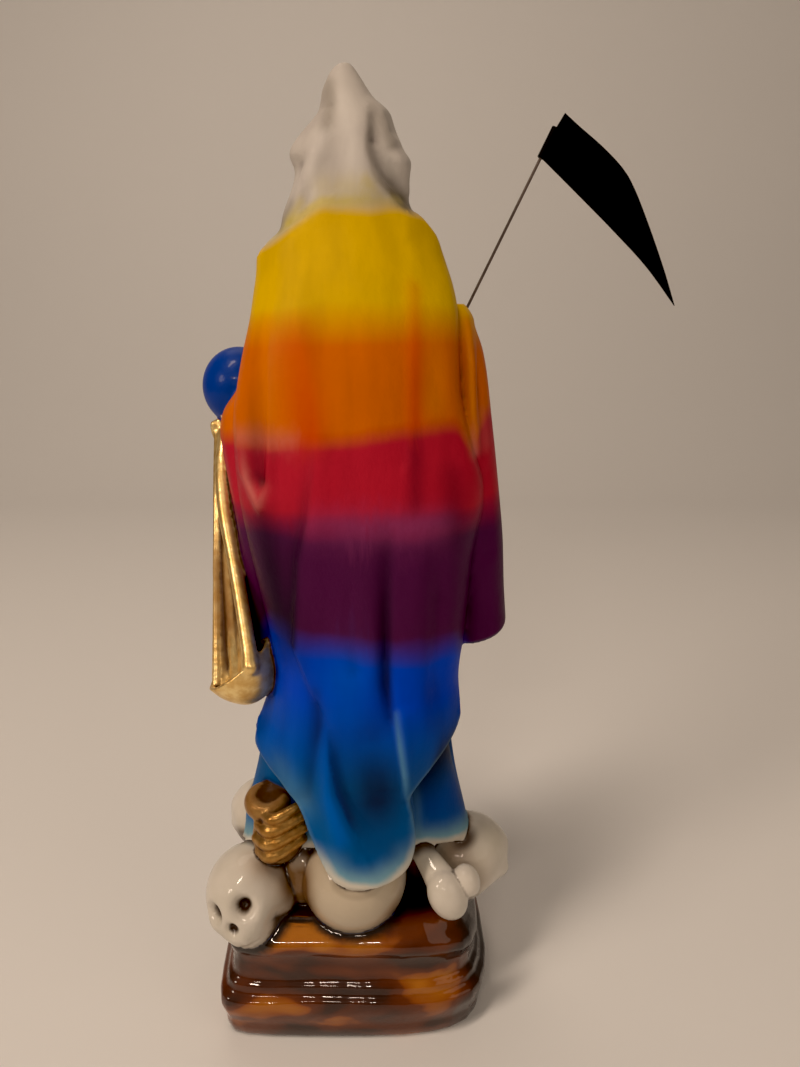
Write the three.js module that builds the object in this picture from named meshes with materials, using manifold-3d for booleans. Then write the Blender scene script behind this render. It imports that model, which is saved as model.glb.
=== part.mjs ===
// A hooded skeleton figurine on a two-step plinth: one cast figure, a wire scythe handle and a sheet
// blade. Millimetres, +Z up, the figure faces -Y, and the origin is the centre of the underside.
import * as THREE from "three";
import Module from "manifold-3d";

const wasm = await Module();
wasm.setup();

// Driving dimensions
const figureHeight = 200; // top of the plinth to the tip of the hood
const plinthHeight = 32.3;
const plinthWidth = 69.4;
const plinthDepth = 53;
const cornerCut = { left: [5, 5], right: [14, 8] }; // what the cut corners take off width and depth
const cornerSoft = 1.5; // how far the cut corners' edges are rounded
const handleDiameter = 0.7;
const handleLength = 84;
const handleLean = 26; // degrees that the handle leans out, away from the body
const handleBelowFist = 0.31; // share of the handle that hangs below the fist
const bladeReach = 36; // root to tip, measured across
const bladeThickness = 1;
const socketLength = 7; // how far the handle goes into the blade
const socketWall = 0.6;
const fitGap = 0.3; // clearance round the wire and at its end, in the fist and in the blade's socket

// Everything on the plinth is modelled in shares of the figure's height, on a figure 200 units tall,
// measured from the middle of the plinth's top.
const unitsTall = 200;
const unit = figureHeight / unitsTall;

const { PI, sin, cos, abs, hypot, exp, max, min, sign } = Math;
const V = (x, y, z) => new THREE.Vector3(x, y, z);
const radians = THREE.MathUtils.degToRad;
const mix = (a, b, t) => a + (b - a) * t;
const onPlinth = (p) => V(p.x * unit, p.y * unit, plinthHeight + p.z * unit);

// A smooth curve through [position, value] pairs, flat beyond both ends
function along(keys, t) {
  const last = keys.length - 1;
  if (t <= keys[0][0]) return keys[0][1];
  if (t >= keys[last][0]) return keys[last][1];
  const i = keys.findIndex((key) => key[0] > t);
  const slope = (k) => {
    const a = keys[max(k - 1, 0)];
    const b = keys[min(k + 1, last)];
    return (b[1] - a[1]) / (b[0] - a[0]);
  };
  const [t0, v0] = keys[i - 1];
  const [t1, v1] = keys[i];
  const w = t1 - t0;
  const h = (t - t0) / w;
  const bend = w * (slope(i - 1) * h * (1 - h) ** 2 - slope(i) * h * h * (1 - h));
  return mix(v0, v1, h * h * (3 - 2 * h)) + bend;
}

const steps = (count) => Array.from({ length: count + 1 }, (_, i) => i / count);
const turns = (count) => Array.from({ length: count }, (_, i) => (2 * PI * i) / count);

// A closed solid from points and triangles, turned right way out
function solidFrom(points, triangles) {
  const make = (list) =>
    new wasm.Manifold(
      new wasm.Mesh({
        numProp: 3,
        vertProperties: new Float32Array(points.flatMap((p) => [p.x, p.y, p.z])),
        triVerts: new Uint32Array(list.flat()),
      }),
    );
  const made = make(triangles);
  return made.volume() > 0 ? made : make(triangles.map(([a, b, c]) => [a, c, b]));
}

// The solid inside a stack of rings. A ring of one point is a pole, and other ends close on their middle.
function skin(rings) {
  const points = [];
  const starts = [];
  for (const ring of rings) {
    starts.push(points.length);
    points.push(...ring);
  }
  const triangles = [];
  for (let r = 0; r + 1 < rings.length; r++) {
    const [a, b] = [starts[r], starts[r + 1]];
    const [na, nb] = [rings[r].length, rings[r + 1].length];
    const n = max(na, nb);
    for (let i = 0; i < n; i++) {
      const j = (i + 1) % n;
      if (na > 1) triangles.push([a + i, a + j, b + (nb > 1 ? j : 0)]);
      if (nb > 1) triangles.push([a + (na > 1 ? i : 0), b + j, b + i]);
    }
  }
  const close = (r, outward) => {
    const n = rings[r].length;
    if (n === 1) return;
    points.push(rings[r].reduce((sum, p) => sum.add(p), V(0, 0, 0)).divideScalar(n));
    const middle = points.length - 1;
    for (let i = 0; i < n; i++) {
      const [p, q] = [starts[r] + i, starts[r] + ((i + 1) % n)];
      triangles.push(outward ? [p, q, middle] : [q, p, middle]);
    }
  };
  close(0, false);
  close(rings.length - 1, true);
  return solidFrom(points, triangles);
}

const join = (solids) => solids.reduce((a, b) => a.add(b));

// A point on an upright oval ring that is fuller than an ellipse when squareness is above 2
function oval(angle, halfX, halfY, squareness = 2) {
  const power = (v) => sign(v) * abs(v) ** (2 / squareness);
  return [halfX * power(cos(angle)), halfY * power(sin(angle))];
}

// A turned shape from a profile of [radius, height] about a centre, which starts and ends on its axis.
// The axis leans from upright so that the side towards +X is lower.
function turned([x, y, z], profile, around, lean) {
  const ring = ([r, up]) =>
    (r > 0 ? turns(around) : [0]).map((a) => {
      const across = r * cos(a);
      const [alongX, rise] = [across * cos(lean) + up * sin(lean), up * cos(lean) - across * sin(lean)];
      return onPlinth(V(x + alongX, y + r * sin(a), z + rise));
    });
  return skin(profile.map(ring));
}

// A smooth bump of height 1 at 0, with steeper sides for a higher edge
const bump = (t, edge = 1) => exp(-(abs(t) ** (2 * edge)));

// Height of a raised fold that runs down from one point of a surface to another, in [x, z]. It fades
// over one distance to the figure's right and over another to its left.
function foldHeight(x, z, { from, to, right, left, high }) {
  const [dx, dz] = [to[0] - from[0], to[1] - from[1]];
  const t = ((x - from[0]) * dx + (z - from[1]) * dz) / (dx * dx + dz * dz);
  const held = min(1, max(0, t));
  const away = hypot(x - from[0] - held * dx, z - from[1] - held * dz);
  const side = (x - from[0]) * dz - (z - from[1]) * dx;
  return high * bump(away / (side > 0 ? right : left)) * mix(0.35, 1, min(1, held * 4));
}

const foldsAt = (folds, x, z) => folds.reduce((sum, fold) => sum + foldHeight(x, z, fold), 0);

// A tapered round bar along a smooth curve through the points, each with its own radius
function bar(path, radii, around = 6, count = 5) {
  const curve = new THREE.CatmullRomCurve3(path);
  const frames = curve.computeFrenetFrames(count, false);
  const radiusKeys = radii.map((r, i) => [i / (radii.length - 1), r]);
  const rings = steps(count).map((t, i) =>
    turns(around).map((a) => {
      const r = along(radiusKeys, t);
      const p = curve.getPoint(t).addScaledVector(frames.normals[i], r * cos(a));
      return onPlinth(p.addScaledVector(frames.binormals[i], r * sin(a)));
    }),
  );
  return skin(rings);
}

// A ball with one pole towards -Y before it is turned, and a relief that depends on the direction
function ball({ at, size, turn = [0, 0, 0], around = 12, count = 8, relief = () => 1 }) {
  const spin = new THREE.Euler(...turn.map(radians), "ZXY");
  const rings = steps(count).map((t) => {
    const polar = PI * t;
    const list = t === 0 || t === 1 ? [0] : turns(around);
    return list.map((a) => {
      const way = V(sin(polar) * cos(a), -cos(polar), sin(polar) * sin(a));
      const r = relief(way);
      const p = V(way.x * size[0] * r, way.y * size[1] * r, way.z * size[2] * r);
      return onPlinth(p.applyEuler(spin).add(V(...at)));
    });
  });
  return skin(rings);
}

// The plinth: rounded steps with grooves between them, as [share of height, how far out in mm]
const plinthProfile = [
  [0, -1.3],
  [0.04, -0.6],
  [0.2, 0.5],
  [0.3, 1.1],
  [0.38, 0.8],
  [0.43, -0.7],
  [0.49, -0.9],
  [0.54, -2.2],
  [0.7, -2.4],
  [0.8, -1.6],
  [0.9, -3.3],
  [1, -6.6],
];

function plinth() {
  const [halfX, halfY] = [plinthWidth / 2, plinthDepth / 2];
  const corner = ([cutX, cutY]) => [
    [halfX, halfY - cutY - cornerSoft],
    [halfX - 0.4 * cornerSoft, halfY - cutY + 0.5 * cornerSoft],
    [halfX - cutX + cornerSoft, halfY - 0.5 * cornerSoft],
    [halfX - cutX - cornerSoft, halfY],
  ];
  const quarters = [
    [1, 1, cornerCut.left],
    [-1, 1, cornerCut.right],
    [-1, -1, cornerCut.right],
    [1, -1, cornerCut.left],
  ];
  const plan = quarters.flatMap(([sx, sy, cut]) => {
    const points = sx * sy > 0 ? corner(cut) : corner(cut).reverse();
    return points.map(([x, y]) => [sx * x, sy * y]);
  });
  const rings = plinthProfile.map(([share, out]) =>
    plan.map(([x, y]) =>
      V(x * (1 + out / halfX), y * (1 + out / halfY), share * plinthHeight),
    ),
  );
  return skin(rings);
}

// The robe under the mantle: half width, front depth and back depth against height
const robeHem = 11; // at the sides and in front
const hemLift = 6; // how much higher the hem is at the back
const robeTop = 165;
const underHem = [25, 17, 9]; // half width, front depth and back depth of the core below the hem
const robeSide = [
  [robeHem, 31.3],
  [20, 29.4],
  [37, 25.2],
  [60, 21.7],
  [100, 21.4],
  [140, 19.5],
  [155, 15],
  [robeTop, 9],
];
const robeFront = [
  [robeHem, 22.5],
  [37, 19.5],
  [100, 16],
  [130, 15.5],
  [150, 12.5],
  [robeTop, 8],
];
const robeBack = [
  [robeHem, 15],
  [37, 13.5],
  [100, 12],
  [robeTop, 6],
];
const robeRows = [0, 0.04, 0.13, 0.23, 0.34, 0.47, 0.61, 0.75, 0.86, 0.94, 1]; // shares, hem to neck
const robePleats = [
  { from: [-3, 132], to: [-5, 12], right: 2.4, left: 4.5, high: 2.6 },
  { from: [6, 120], to: [9, 12], right: 3.5, left: 2.2, high: 2.4 },
  { from: [-11, 110], to: [-15, 12], right: 2.6, left: 4, high: 2.2 },
  { from: [1, 80], to: [1.5, 12], right: 2, left: 2, high: 1.4 },
  { from: [14, 90], to: [19, 12], right: 3, left: 2.4, high: 2 },
  { from: [-19, 100], to: [-25, 14], right: 2.4, left: 2.4, high: 1.8 },
];

function robe() {
  const hemAt = (a) => robeHem + hemLift * max(0, sin(a));
  const rings = robeRows.map((share) =>
    turns(28).map((a) => {
      const z = mix(hemAt(a), robeTop, share);
      const front = sin(a) < 0;
      const [x, y] = oval(a, along(robeSide, z), along(front ? robeFront : robeBack, z), 2.4);
      const lift = front ? foldsAt(robePleats, x, z) : 0;
      return onPlinth(V(x + lift * cos(a), y + lift * sin(a), z));
    }),
  );
  const [wide, front, back] = underHem;
  const core = [-4, 1.5].map((rise) =>
    turns(28).map((a) => {
      const [x, y] = oval(a, wide, sin(a) < 0 ? front : back, 2.4);
      return onPlinth(V(x, y, rise > 0 ? hemAt(a) + rise : rise));
    }),
  );
  return skin([...core, ...rings]);
}

// The cloak: hood and mantle in one sweep from the tip down the back. Half width on the figure's left
// and right, and depth to the back and to the front, against height.
const cloakLeft = [
  [33, 18.3],
  [39, 21.4],
  [44, 24],
  [47, 24.3],
  [52, 21.6],
  [63, 19.4],
  [71, 20.2],
  [80, 21.8],
  [95, 24.6],
  [108, 26.5],
  [122, 27],
  [131, 26],
  [139, 24.3],
  [148, 21.9],
  [155, 20.6],
  [161, 19.2],
  [164, 17.6],
  [166.5, 14.8],
  [170, 13.6],
  [176, 11.4],
  [179, 11],
  [182, 12],
  [184.5, 10.8],
  [190, 5.9],
  [195, 4.5],
  [198, 2.9],
];
const cloakRight = [
  [35, 21],
  [45, 24.6],
  [52, 26.6],
  [61, 26.8],
  [70, 28],
  [90, 29.6],
  [97, 30.6],
  [105, 32],
  [112, 31.4],
  [119, 28.8],
  [126, 26.8],
  [132, 25.8],
  [140, 25.2],
  [151, 24.8],
  [159, 22.6],
  [165, 20],
  [168, 17.6],
  [171, 14.6],
  [176, 13.6],
  [180.5, 14.4],
  [183, 12.8],
  [187.5, 10.9],
  [190.5, 9.7],
  [193, 6.6],
  [198, 3],
];
const cloakBack = [
  [14, 26.5],
  [24, 25.4],
  [38, 23],
  [60, 21],
  [90, 20],
  [120, 19],
  [140, 17.6],
  [155, 15.4],
  [166, 12.6],
  [178, 10.8],
  [186, 8.8],
  [194, 5.4],
  [198, 3],
];
const cloakFront = [
  [146, 2],
  [156, 9],
  [164, 12],
  [172, 15],
  [180, 15.6],
  [187, 13],
  [193, 8.6],
  [198, 3.4],
];
// The lower edge, from the figure's left round the back to its right: [share of the way, x] and
// [share of the way, z]
const hemShare = [0, 0.05, 0.1, 0.17, 0.25, 0.31, 0.36, 0.41, 0.47, 0.54];
const hemShareRight = [0.61, 0.66, 0.7, 0.735, 0.77, 0.83, 0.89, 0.95, 1];
const hemX = [24.3, 24.3, 21.2, 17.4, 13.7, 11.4, 9, 7, 4.3, -1];
const hemXRight = [-7.6, -14, -15.7, -15, -14.4, -19.4, -23.2, -26, -27.4];
const hemZ = [47.5, 44.5, 40.5, 37.8, 34, 30.2, 25.2, 20.5, 15.6, 14];
const hemZRight = [14.4, 18, 24, 30.5, 36.4, 41, 44.6, 48, 52];
const paired = (shares, values) => shares.map((share, i) => [share, values[i]]);
const hemAcross = paired([...hemShare, ...hemShareRight], [...hemX, ...hemXRight]);
const hemHeight = paired([...hemShare, ...hemShareRight], [...hemZ, ...hemZRight]);

const backFolds = [
  { from: [4.5, 128], to: [12, 70], right: 9, left: 1.3, high: 1.6 }, // left edge of the main panel
  { from: [-9, 92], to: [-9, 58], right: 7, left: 1.2, high: 1.5 },
  { from: [-9, 60], to: [-14, 36], right: 6, left: 1, high: 2.6 }, // overlap down to the notch
  { from: [-6, 88], to: [-7, 44], right: 3, left: 5, high: -1.4 },
  { from: [5.9, 66], to: [3.6, 44], right: 1.4, left: 6, high: 1.5 },
  { from: [3.6, 44], to: [-2.6, 27], right: 1.6, left: 5, high: 1.6 },
  { from: [-4, 40], to: [-6, 22], right: 4, left: 4, high: -1.3 },
  { from: [-21, 98], to: [-21.6, 60], right: 3, left: 3, high: -1.2 },
  { from: [19.7, 143], to: [21, 110], right: 1.8, left: 1.8, high: -3 }, // pocket over the left arm
  { from: [23.4, 132], to: [21.4, 104], right: 1.6, left: 1.6, high: 1.2 },
  { from: [17.2, 144], to: [19.6, 106], right: 3, left: 1.3, high: 1.1 },
  { from: [-22.6, 157], to: [-26.8, 126], right: 1.5, left: 3, high: 0.9 }, // rolled right edge
  { from: [-29.4, 116], to: [-31, 99], right: 1.4, left: 2.4, high: 1.2 },
  { from: [-14.4, 158], to: [-15.4, 100], right: 2, left: 4, high: -0.7 },
  { from: [15.8, 164.6], to: [4.6, 171.6], right: 3.4, left: 1.2, high: 1.3 }, // left collar
  { from: [-4.6, 191], to: [-4.5, 178], right: 1.1, left: 3.6, high: 2 }, // right edge of the ridge
  { from: [-4.5, 178], to: [-14, 169], right: 1.3, left: 4, high: 2.4 },
  { from: [2.7, 194], to: [3.4, 182], right: 1.4, left: 1.5, high: -1.3 },
  { from: [-6.4, 187], to: [-6.8, 176], right: 1.3, left: 1.3, high: -1.5 },
  { from: [-9, 189], to: [-10.8, 180], right: 1.4, left: 1.4, high: 0.8 },
  { from: [-10, 181], to: [-12.6, 174], right: 1.5, left: 1.5, high: 0.9 },
];
const face = { z: 177, wide: 7.8, tall: 10, deep: 9 };
const cloakTop = 198;
const hemStart = 62; // above this height the rows of the cloak are level
const cloakRows = [
  194.5, 191, 188, 185, 182, 179.5, 177, 174, 171, 168, 164.5, 160, 154, 147, 140, 132, 124, 116, 110,
  104, 98, 91, 83, 75, 68, 62,
];

// The cloak's surface at a share of the way round and a height. The first half of the way is the back.
function cloakPoint(share, z) {
  const back = share <= 0.5;
  const angle = 2 * PI * share;
  const half = along(cos(angle) > 0 ? cloakLeft : cloakRight, z);
  const deep = back ? along(cloakBack, z) : along(cloakFront, z);
  const squareness = mix(2.5, 2, min(1, max(0, (z - 150) / 16)));
  const [x, y] = oval(angle, half, deep, squareness);
  if (back) {
    const lift = foldsAt(backFolds, x, z) * min(1, 4 * sin(angle) + 0.2);
    return V(x + lift * cos(angle), y + lift * sin(angle), z);
  }
  const inFace = bump(hypot(x / face.wide, (z - face.z) / face.tall), 3);
  return V(x, y + face.deep * inFace, z);
}

// The same below hemStart, where the rows bend to the lower edge
function cloakHemPoint(share, w) {
  const back = share <= 0.5;
  const z = mix(hemStart, back ? along(hemHeight, share * 2) : 50, w);
  const p = cloakPoint(share, z);
  if (!back) return p;
  const x = mix(p.x, along(hemAcross, share * 2), w ** 2);
  const half = along(x > 0 ? cloakLeft : cloakRight, z);
  const inside = min(1, abs(x) / (half + 2));
  const y = along(cloakBack, z) * (1 - inside ** 2.5) ** (1 / 2.5);
  return V(x, mix(p.y, y + foldsAt(backFolds, x, z), w), z);
}

function cloak() {
  const shares = [...steps(30).map((t) => t / 2), ...steps(10).slice(1, -1).map((t) => 0.5 + t / 2)];
  const level = cloakRows.map((z) => shares.map((share) => onPlinth(cloakPoint(share, z))));
  const hem = [0.2, 0.4, 0.6, 0.8, 1].map((w) =>
    shares.map((share) => onPlinth(cloakHemPoint(share, w))),
  );
  const crown = shares.map((share) => onPlinth(cloakPoint(share, cloakTop)));
  return skin([[onPlinth(V(-0.4, 0.4, unitsTall))], crown, ...level, ...hem]);
}

// A hanging sleeve: middle, half width and half depth against height, hollowed towards the hand
function sleeve({ rows, mouth, folds, tilt }) {
  const sized = (name) => rows.map((row) => [row.z, row[name]]);
  const [xs, ys, widths, depths] = ["x", "y", "wide", "deep"].map(sized);
  const [low, high] = [rows[0].z, rows[rows.length - 1].z];
  const rings = steps(11).map((t) => {
    const z = mix(low, high, t);
    return turns(14).map((a) => {
      const [dx, dy] = oval(a, along(widths, z), along(depths, z), 2.3);
      const dent = mouth.deep * max(0, -sin(a)) ** 3 * bump((z - mouth.z) / mouth.tall, 2);
      const [x, y] = [along(xs, z) + dx, along(ys, z) + dy + dent];
      const lift = sin(a) > -0.5 ? foldsAt(folds, x, z) : 0;
      const slant = tilt * dx * (1 - t) ** 2;
      return onPlinth(V(x + lift * cos(a), y + lift * sin(a), z + slant));
    });
  });
  return skin(rings);
}

const rightSleeve = {
  rows: [
    { z: 69.2, x: -33, y: -7.5, wide: 6.5, deep: 11 },
    { z: 70, x: -33, y: -7.5, wide: 7, deep: 11.6 },
    { z: 76, x: -32.6, y: -8, wide: 6.8, deep: 11.5 },
    { z: 93, x: -31, y: -8.5, wide: 7.2, deep: 12.6 },
    { z: 107, x: -29.3, y: -9, wide: 7.4, deep: 13.2 },
    { z: 123, x: -27.3, y: -9.5, wide: 7.4, deep: 13.6 },
    { z: 140, x: -25.6, y: -9.5, wide: 6.6, deep: 12.6 },
    { z: 148, x: -24.6, y: -9, wide: 4.8, deep: 9.6 },
    { z: 151, x: -24.4, y: -8.5, wide: 2.8, deep: 6 },
  ],
  mouth: { z: 112, tall: 34, deep: 7 },
  tilt: -0.35, // how steeply the lower edge rises outwards
  folds: [
    { from: [-28.4, 147], to: [-31, 122], right: 1.1, left: 1.3, high: -1.6 },
    { from: [-31, 122], to: [-33, 100], right: 1.3, left: 1.3, high: -1.3 },
  ],
};
const leftSleeve = {
  rows: [
    { z: 66, x: 19.6, y: -8, wide: 6, deep: 10.5 },
    { z: 80, x: 21.4, y: -8, wide: 6.2, deep: 11.5 },
    { z: 95, x: 22.8, y: -8.5, wide: 6.6, deep: 12.5 },
    { z: 110, x: 24, y: -9, wide: 7.3, deep: 13.5 },
    { z: 120, x: 24.4, y: -9.5, wide: 7.8, deep: 14 },
    { z: 126, x: 23.8, y: -9.5, wide: 7.2, deep: 13.5 },
    { z: 131, x: 21, y: -9, wide: 6.6, deep: 12 },
    { z: 140, x: 17, y: -7, wide: 6, deep: 10 },
    { z: 150, x: 13.6, y: -4.5, wide: 5.6, deep: 8.4 },
    { z: 160, x: 10, y: -1, wide: 5, deep: 6 },
  ],
  mouth: { z: 96, tall: 26, deep: 6 },
  tilt: 0.2,
  folds: [{ from: [30.8, 118], to: [28, 84], right: 1.2, left: 1.4, high: -1 }],
};

// Relief of a skull that faces -Y: direction, angular radius and height, mirrored where x isn't 0
const skullFeatures = [
  { way: [0, -0.66, -0.76], reach: 0.46, high: 0.14 }, // upper jaw
  { way: [0.62, -0.7, -0.34], reach: 0.24, high: 0.06 }, // cheekbone
  { way: [0.7, -0.28, -0.66], reach: 0.34, high: -0.14 }, // hollow under the cheekbone
  { way: [0.88, -0.46, 0.06], reach: 0.32, high: -0.05 }, // temple
  { way: [0.4, -0.88, 0.24], reach: 0.24, high: 0.03 }, // brow
  { way: [0.42, -0.9, -0.1], reach: 0.25, high: -0.26, edge: 2 }, // eye socket
  { way: [0, -0.88, -0.46], reach: 0.16, high: -0.16, edge: 1.5 }, // nose
];
// The grid of a skull's surface, in degrees: round from the face to each side, and up from level
const skullRound = [0, 13, 25, 38, 56, 80, 112, 146, 180];
const skullUp = [62, 38, 20, 8, -5, -16, -28, -40, -56, -74];

function skullRelief(way) {
  let r = 1;
  for (const { way: toward, reach, high, edge } of skullFeatures) {
    const mirrored = V(toward[0] * (way.x < 0 ? -1 : 1), toward[1], toward[2]).normalize();
    r += high * bump(way.angleTo(mirrored) / reach, edge);
  }
  return r;
}

function skull(at, halfWidth, turn = [0, 0, 0]) {
  const spin = new THREE.Euler(...turn.map(radians), "ZXY");
  const point = (round, up) => {
    const [a, b] = [radians(round), radians(up)];
    const way = V(sin(a) * cos(b), -cos(a) * cos(b), sin(b));
    const p = way.clone().multiplyScalar(skullRelief(way)).multiply(V(0.94, 1.08, 1));
    return onPlinth(p.multiplyScalar(halfWidth).applyEuler(spin).add(V(...at)));
  };
  const otherSide = skullRound.slice(1, -1).map((round) => -round);
  const ringWay = [...skullRound, ...otherSide.reverse()];
  const rings = skullUp.map((up) => ringWay.map((round) => point(round, up)));
  return skin([[point(0, 90)], ...rings, [point(0, -90)]]);
}

// The scythe's line runs through the fist, up and out
const fist = V(-23.6, -21, 139);
const lean = radians(handleLean);
const handleWay = V(-sin(lean), 0, cos(lean));

function rightArm() {
  const fingers = steps(3).map((t) => {
    const centre = fist.clone().addScaledVector(handleWay, 3.9 - 7.8 * t);
    const around = (dx, dy) => V(centre.x + dx, centre.y + dy, centre.z + dx * 0.4);
    const path = [around(-2.6, 2.4), around(-3.2, -0.6), around(0, -3), around(3, -1)];
    return bar(path, [1.25, 1.35, 1.35, 1.1], 5, 4);
  });
  const palm = ball({
    at: [fist.x - 0.6, fist.y + 1.6, fist.z],
    size: [3.4, 2.8, 4.4],
    around: 8,
    count: 6,
  });
  const wrist = [V(-28, -8, 128), V(-27, -15, 132), V(fist.x - 1, fist.y + 2.4, fist.z - 1.5)];
  const upperArm = [V(-11, -2.5, 155), V(-19, -6.5, 147), V(-25.5, -9.5, 136)];
  return join([palm, bar(wrist, [3.2, 2.4, 2.2], 7, 3), bar(upperArm, [6, 6.4, 6], 9, 3), ...fingers]);
}

// The globe on the left hand, with its fingers round the front
const globe = { x: 29.4, y: -20, z: 131, r: 9.5 };

// Where each finger stands round the globe, in degrees, and how far up it reaches
const leftFingers = [
  [-60, 1],
  [-20, 1],
  [20, 1],
  [62, 0.8],
  [150, 0.45],
];

function leftArm() {
  const { x, y, z, r } = globe;
  const sphere = ball({ at: [x, y, z], size: [r, r, r], around: 14, count: 8 });
  const touch = r + 0.5; // the fingers' centres lie just off the ball's face
  const fingers = leftFingers.map(([degrees, reach]) => {
    const a = radians(degrees);
    const path = [0, 28, 56, 82].map((rise) => {
      const up = rise * reach - 86;
      const out = touch * cos(radians(up));
      return V(x + out * sin(a), y - out * cos(a), z + touch * sin(radians(up)));
    });
    return bar(path, [1.5, 1.3, 1.2, 0.9], 5, 3);
  });
  const wrist = [V(24.5, -8, z - 15), V(26, -14, z - 13.5), V(x, y, z - r - 1.6)];
  return join([sphere, bar(wrist, [3.4, 2.5, 2.4], 7, 3), ...fingers]);
}

// The scales: a beam under the hand, and at each end a dish on three straps with a solid web between
const beamHeight = 119.5;
const dish = { rim: 65, deep: 11, r: 9.5, wall: 1.2 };
const strapTurn = 128; // one strap faces the viewer behind the figure
const hangers = [
  { top: [34.6, -18], low: [28.2, 7], lean: 0.65 },
  { top: [15, -24], low: [11, -28.5], lean: 0 },
];

function hanger({ top, low, lean }) {
  const straps = skin(
    steps(4).map((t) => {
      const [x, y] = [mix(top[0], low[0], t), mix(top[1], low[1], t)];
      return turns(12).map((a) => {
        const lobe = max(0, cos(3 * (a - radians(strapTurn)))) ** 2;
        const r = mix(1.4, dish.r - 0.8, t) * mix(0.42, 1, lobe) * (1 - 0.14 * cos(a)) + 0.35;
        const foot = dish.rim - 3 - r * cos(a) * sin(lean);
        const across = r * cos(a) * cos(lean);
        return onPlinth(V(x + across, y + r * sin(a), mix(beamHeight, foot, t)));
      });
    }),
  );
  const { r, deep, rim, wall } = dish;
  const profile = [
    [0, -deep],
    [0.55 * r, -0.84 * deep],
    [0.88 * r, -0.42 * deep],
    [r, 0],
    [r - wall, 0],
    [0.7 * r, -0.4 * deep],
    [0.3 * r, -0.58 * deep],
    [0, -0.62 * deep],
  ];
  return straps.add(turned([...low, rim], profile, 11, lean));
}

function scales() {
  const [near, far] = hangers.map(({ top }) => V(...top, beamHeight + 1));
  const middle = near.clone().lerp(far, 0.4).setZ(beamHeight + 2.4);
  return join([bar([near, middle, far], [1.3, 1.5, 1.3], 6, 5), ...hangers.map(hanger)]);
}

// The owl at the figure's left foot, seen from behind: a feathered back and a hollow crown
const owl = { x: 18.6, y: 13, z: 19.2 };

function owlFigure() {
  const feathers = (way) => 1 + 0.05 * sin(way.z * 13 + way.x * 5) * max(0, way.y);
  const body = ball({
    at: [owl.x, owl.y, owl.z],
    size: [7.8, 6.4, 8.2],
    turn: [6, -14, 0],
    around: 12,
    count: 9,
    relief: feathers,
  });
  const crown = (way) => 1 - 0.34 * bump((1 - way.z) / 0.14) + 0.08 * bump((abs(way.x) - 0.7) / 0.2);
  const head = ball({
    at: [owl.x + 2.6, owl.y - 0.6, owl.z + 9.8],
    size: [6.3, 5.8, 4.9],
    turn: [-17, 0, 0],
    around: 10,
    count: 8,
    relief: crown,
  });
  return join([body, head]);
}

// Skulls round the hem, and the end of a long bone beside the back one
function bones() {
  const skulls = [
    skull([26.4, 14, 3.3], 12.3, [-18, -35, 152.5]),
    ball({ at: [0, 13, 7.4], size: [13.4, 14, 13.2], around: 14, count: 8 }),
    skull([-30, 0, 3.4], 11.8, [-4, 0, -62]),
    skull([24.5, -4, 13.5], 10.6, [-4, 6, 52]),
    skull([11.5, -17.5, 4.5], 11.4, [-6, 0, 14]),
    skull([-8.5, -18.5, 4], 11.2, [-4, -8, -14]),
  ];
  const shaft = bar([V(-15.6, 9.5, 15.6), V(-19.4, 14.5, 12.8), V(-23, 19, 9.4)], [2.7, 3.3, 4], 7, 3);
  const knobs = [
    ball({ at: [-24, 20.6, 7.8], size: [4.9, 4.8, 7], turn: [0, -20, 0], around: 10, count: 7 }),
    ball({ at: [-29, 18.4, 10.6], size: [3.7, 3.9, 4.4], around: 8, count: 6 }),
  ];
  return join([...skulls, shaft, ...knobs]);
}

// The handle's ends, in millimetres
const handleFoot = onPlinth(fist).addScaledVector(handleWay, -handleLength * handleBelowFist);
const handleTop = handleFoot.clone().addScaledVector(handleWay, handleLength);
const handleSides = 10;
const wire = handleDiameter / 2;
const boreRadius = (wire + fitGap) / cos(PI / handleSides); // its flats keep the clearance

// A round rod between two distances along the handle's line, measured from its foot
function rodAlongHandle(radius, from, to) {
  const sideways = V(handleWay.z, 0, -handleWay.x);
  const rings = [from, to].map((distance) =>
    turns(handleSides).map((a) =>
      handleFoot
        .clone()
        .addScaledVector(handleWay, distance)
        .addScaledVector(sideways, radius * cos(a))
        .addScaledVector(V(0, 1, 0), radius * sin(a)),
    ),
  );
  return skin(rings);
}

function castFigure() {
  const whole = join([
    plinth(),
    robe(),
    cloak(),
    sleeve(rightSleeve),
    sleeve(leftSleeve),
    skull([0, -5.4, 177.4], 7.4),
    rightArm(),
    leftArm(),
    scales(),
    owlFigure(),
    bones(),
  ]);
  return whole.subtract(rodAlongHandle(boreRadius, -fitGap, handleLength + fitGap));
}

// The blade's outline, as shares of its reach: along the root edge, the curved back and the hollow edge
const bladeOutline = [
  [0, 0],
  [0.16, 0.26],
  [0.26, 0.18],
  [0.43, 0.05],
  [0.57, -0.08],
  [0.66, -0.21],
  [0.78, -0.45],
  [0.91, -0.74],
  [1, -0.97],
  [0.78, -0.71],
  [0.54, -0.48],
  [0.25, -0.22],
];

// A flat blade with a rolled socket where the handle enters
function scytheBlade() {
  const root = handleTop.clone().addScaledVector(handleWay, socketWall - socketLength);
  const edgeX = root.x + boreRadius; // the root edge lies just outside the handle's line
  const outline = bladeOutline.map(([across, up]) => [
    edgeX - across * bladeReach,
    root.z + up * bladeReach,
  ]);
  const faces = [1, -1].map((s) => outline.map(([x, z]) => V(x, root.y + (s * bladeThickness) / 2, z)));
  const bore = rodAlongHandle(boreRadius, -fitGap, handleLength + fitGap);
  const socketEnd = handleLength + fitGap + socketWall;
  const socket = rodAlongHandle(boreRadius + socketWall, handleLength - socketLength, socketEnd);
  return skin(faces).add(socket).subtract(bore);
}

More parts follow.
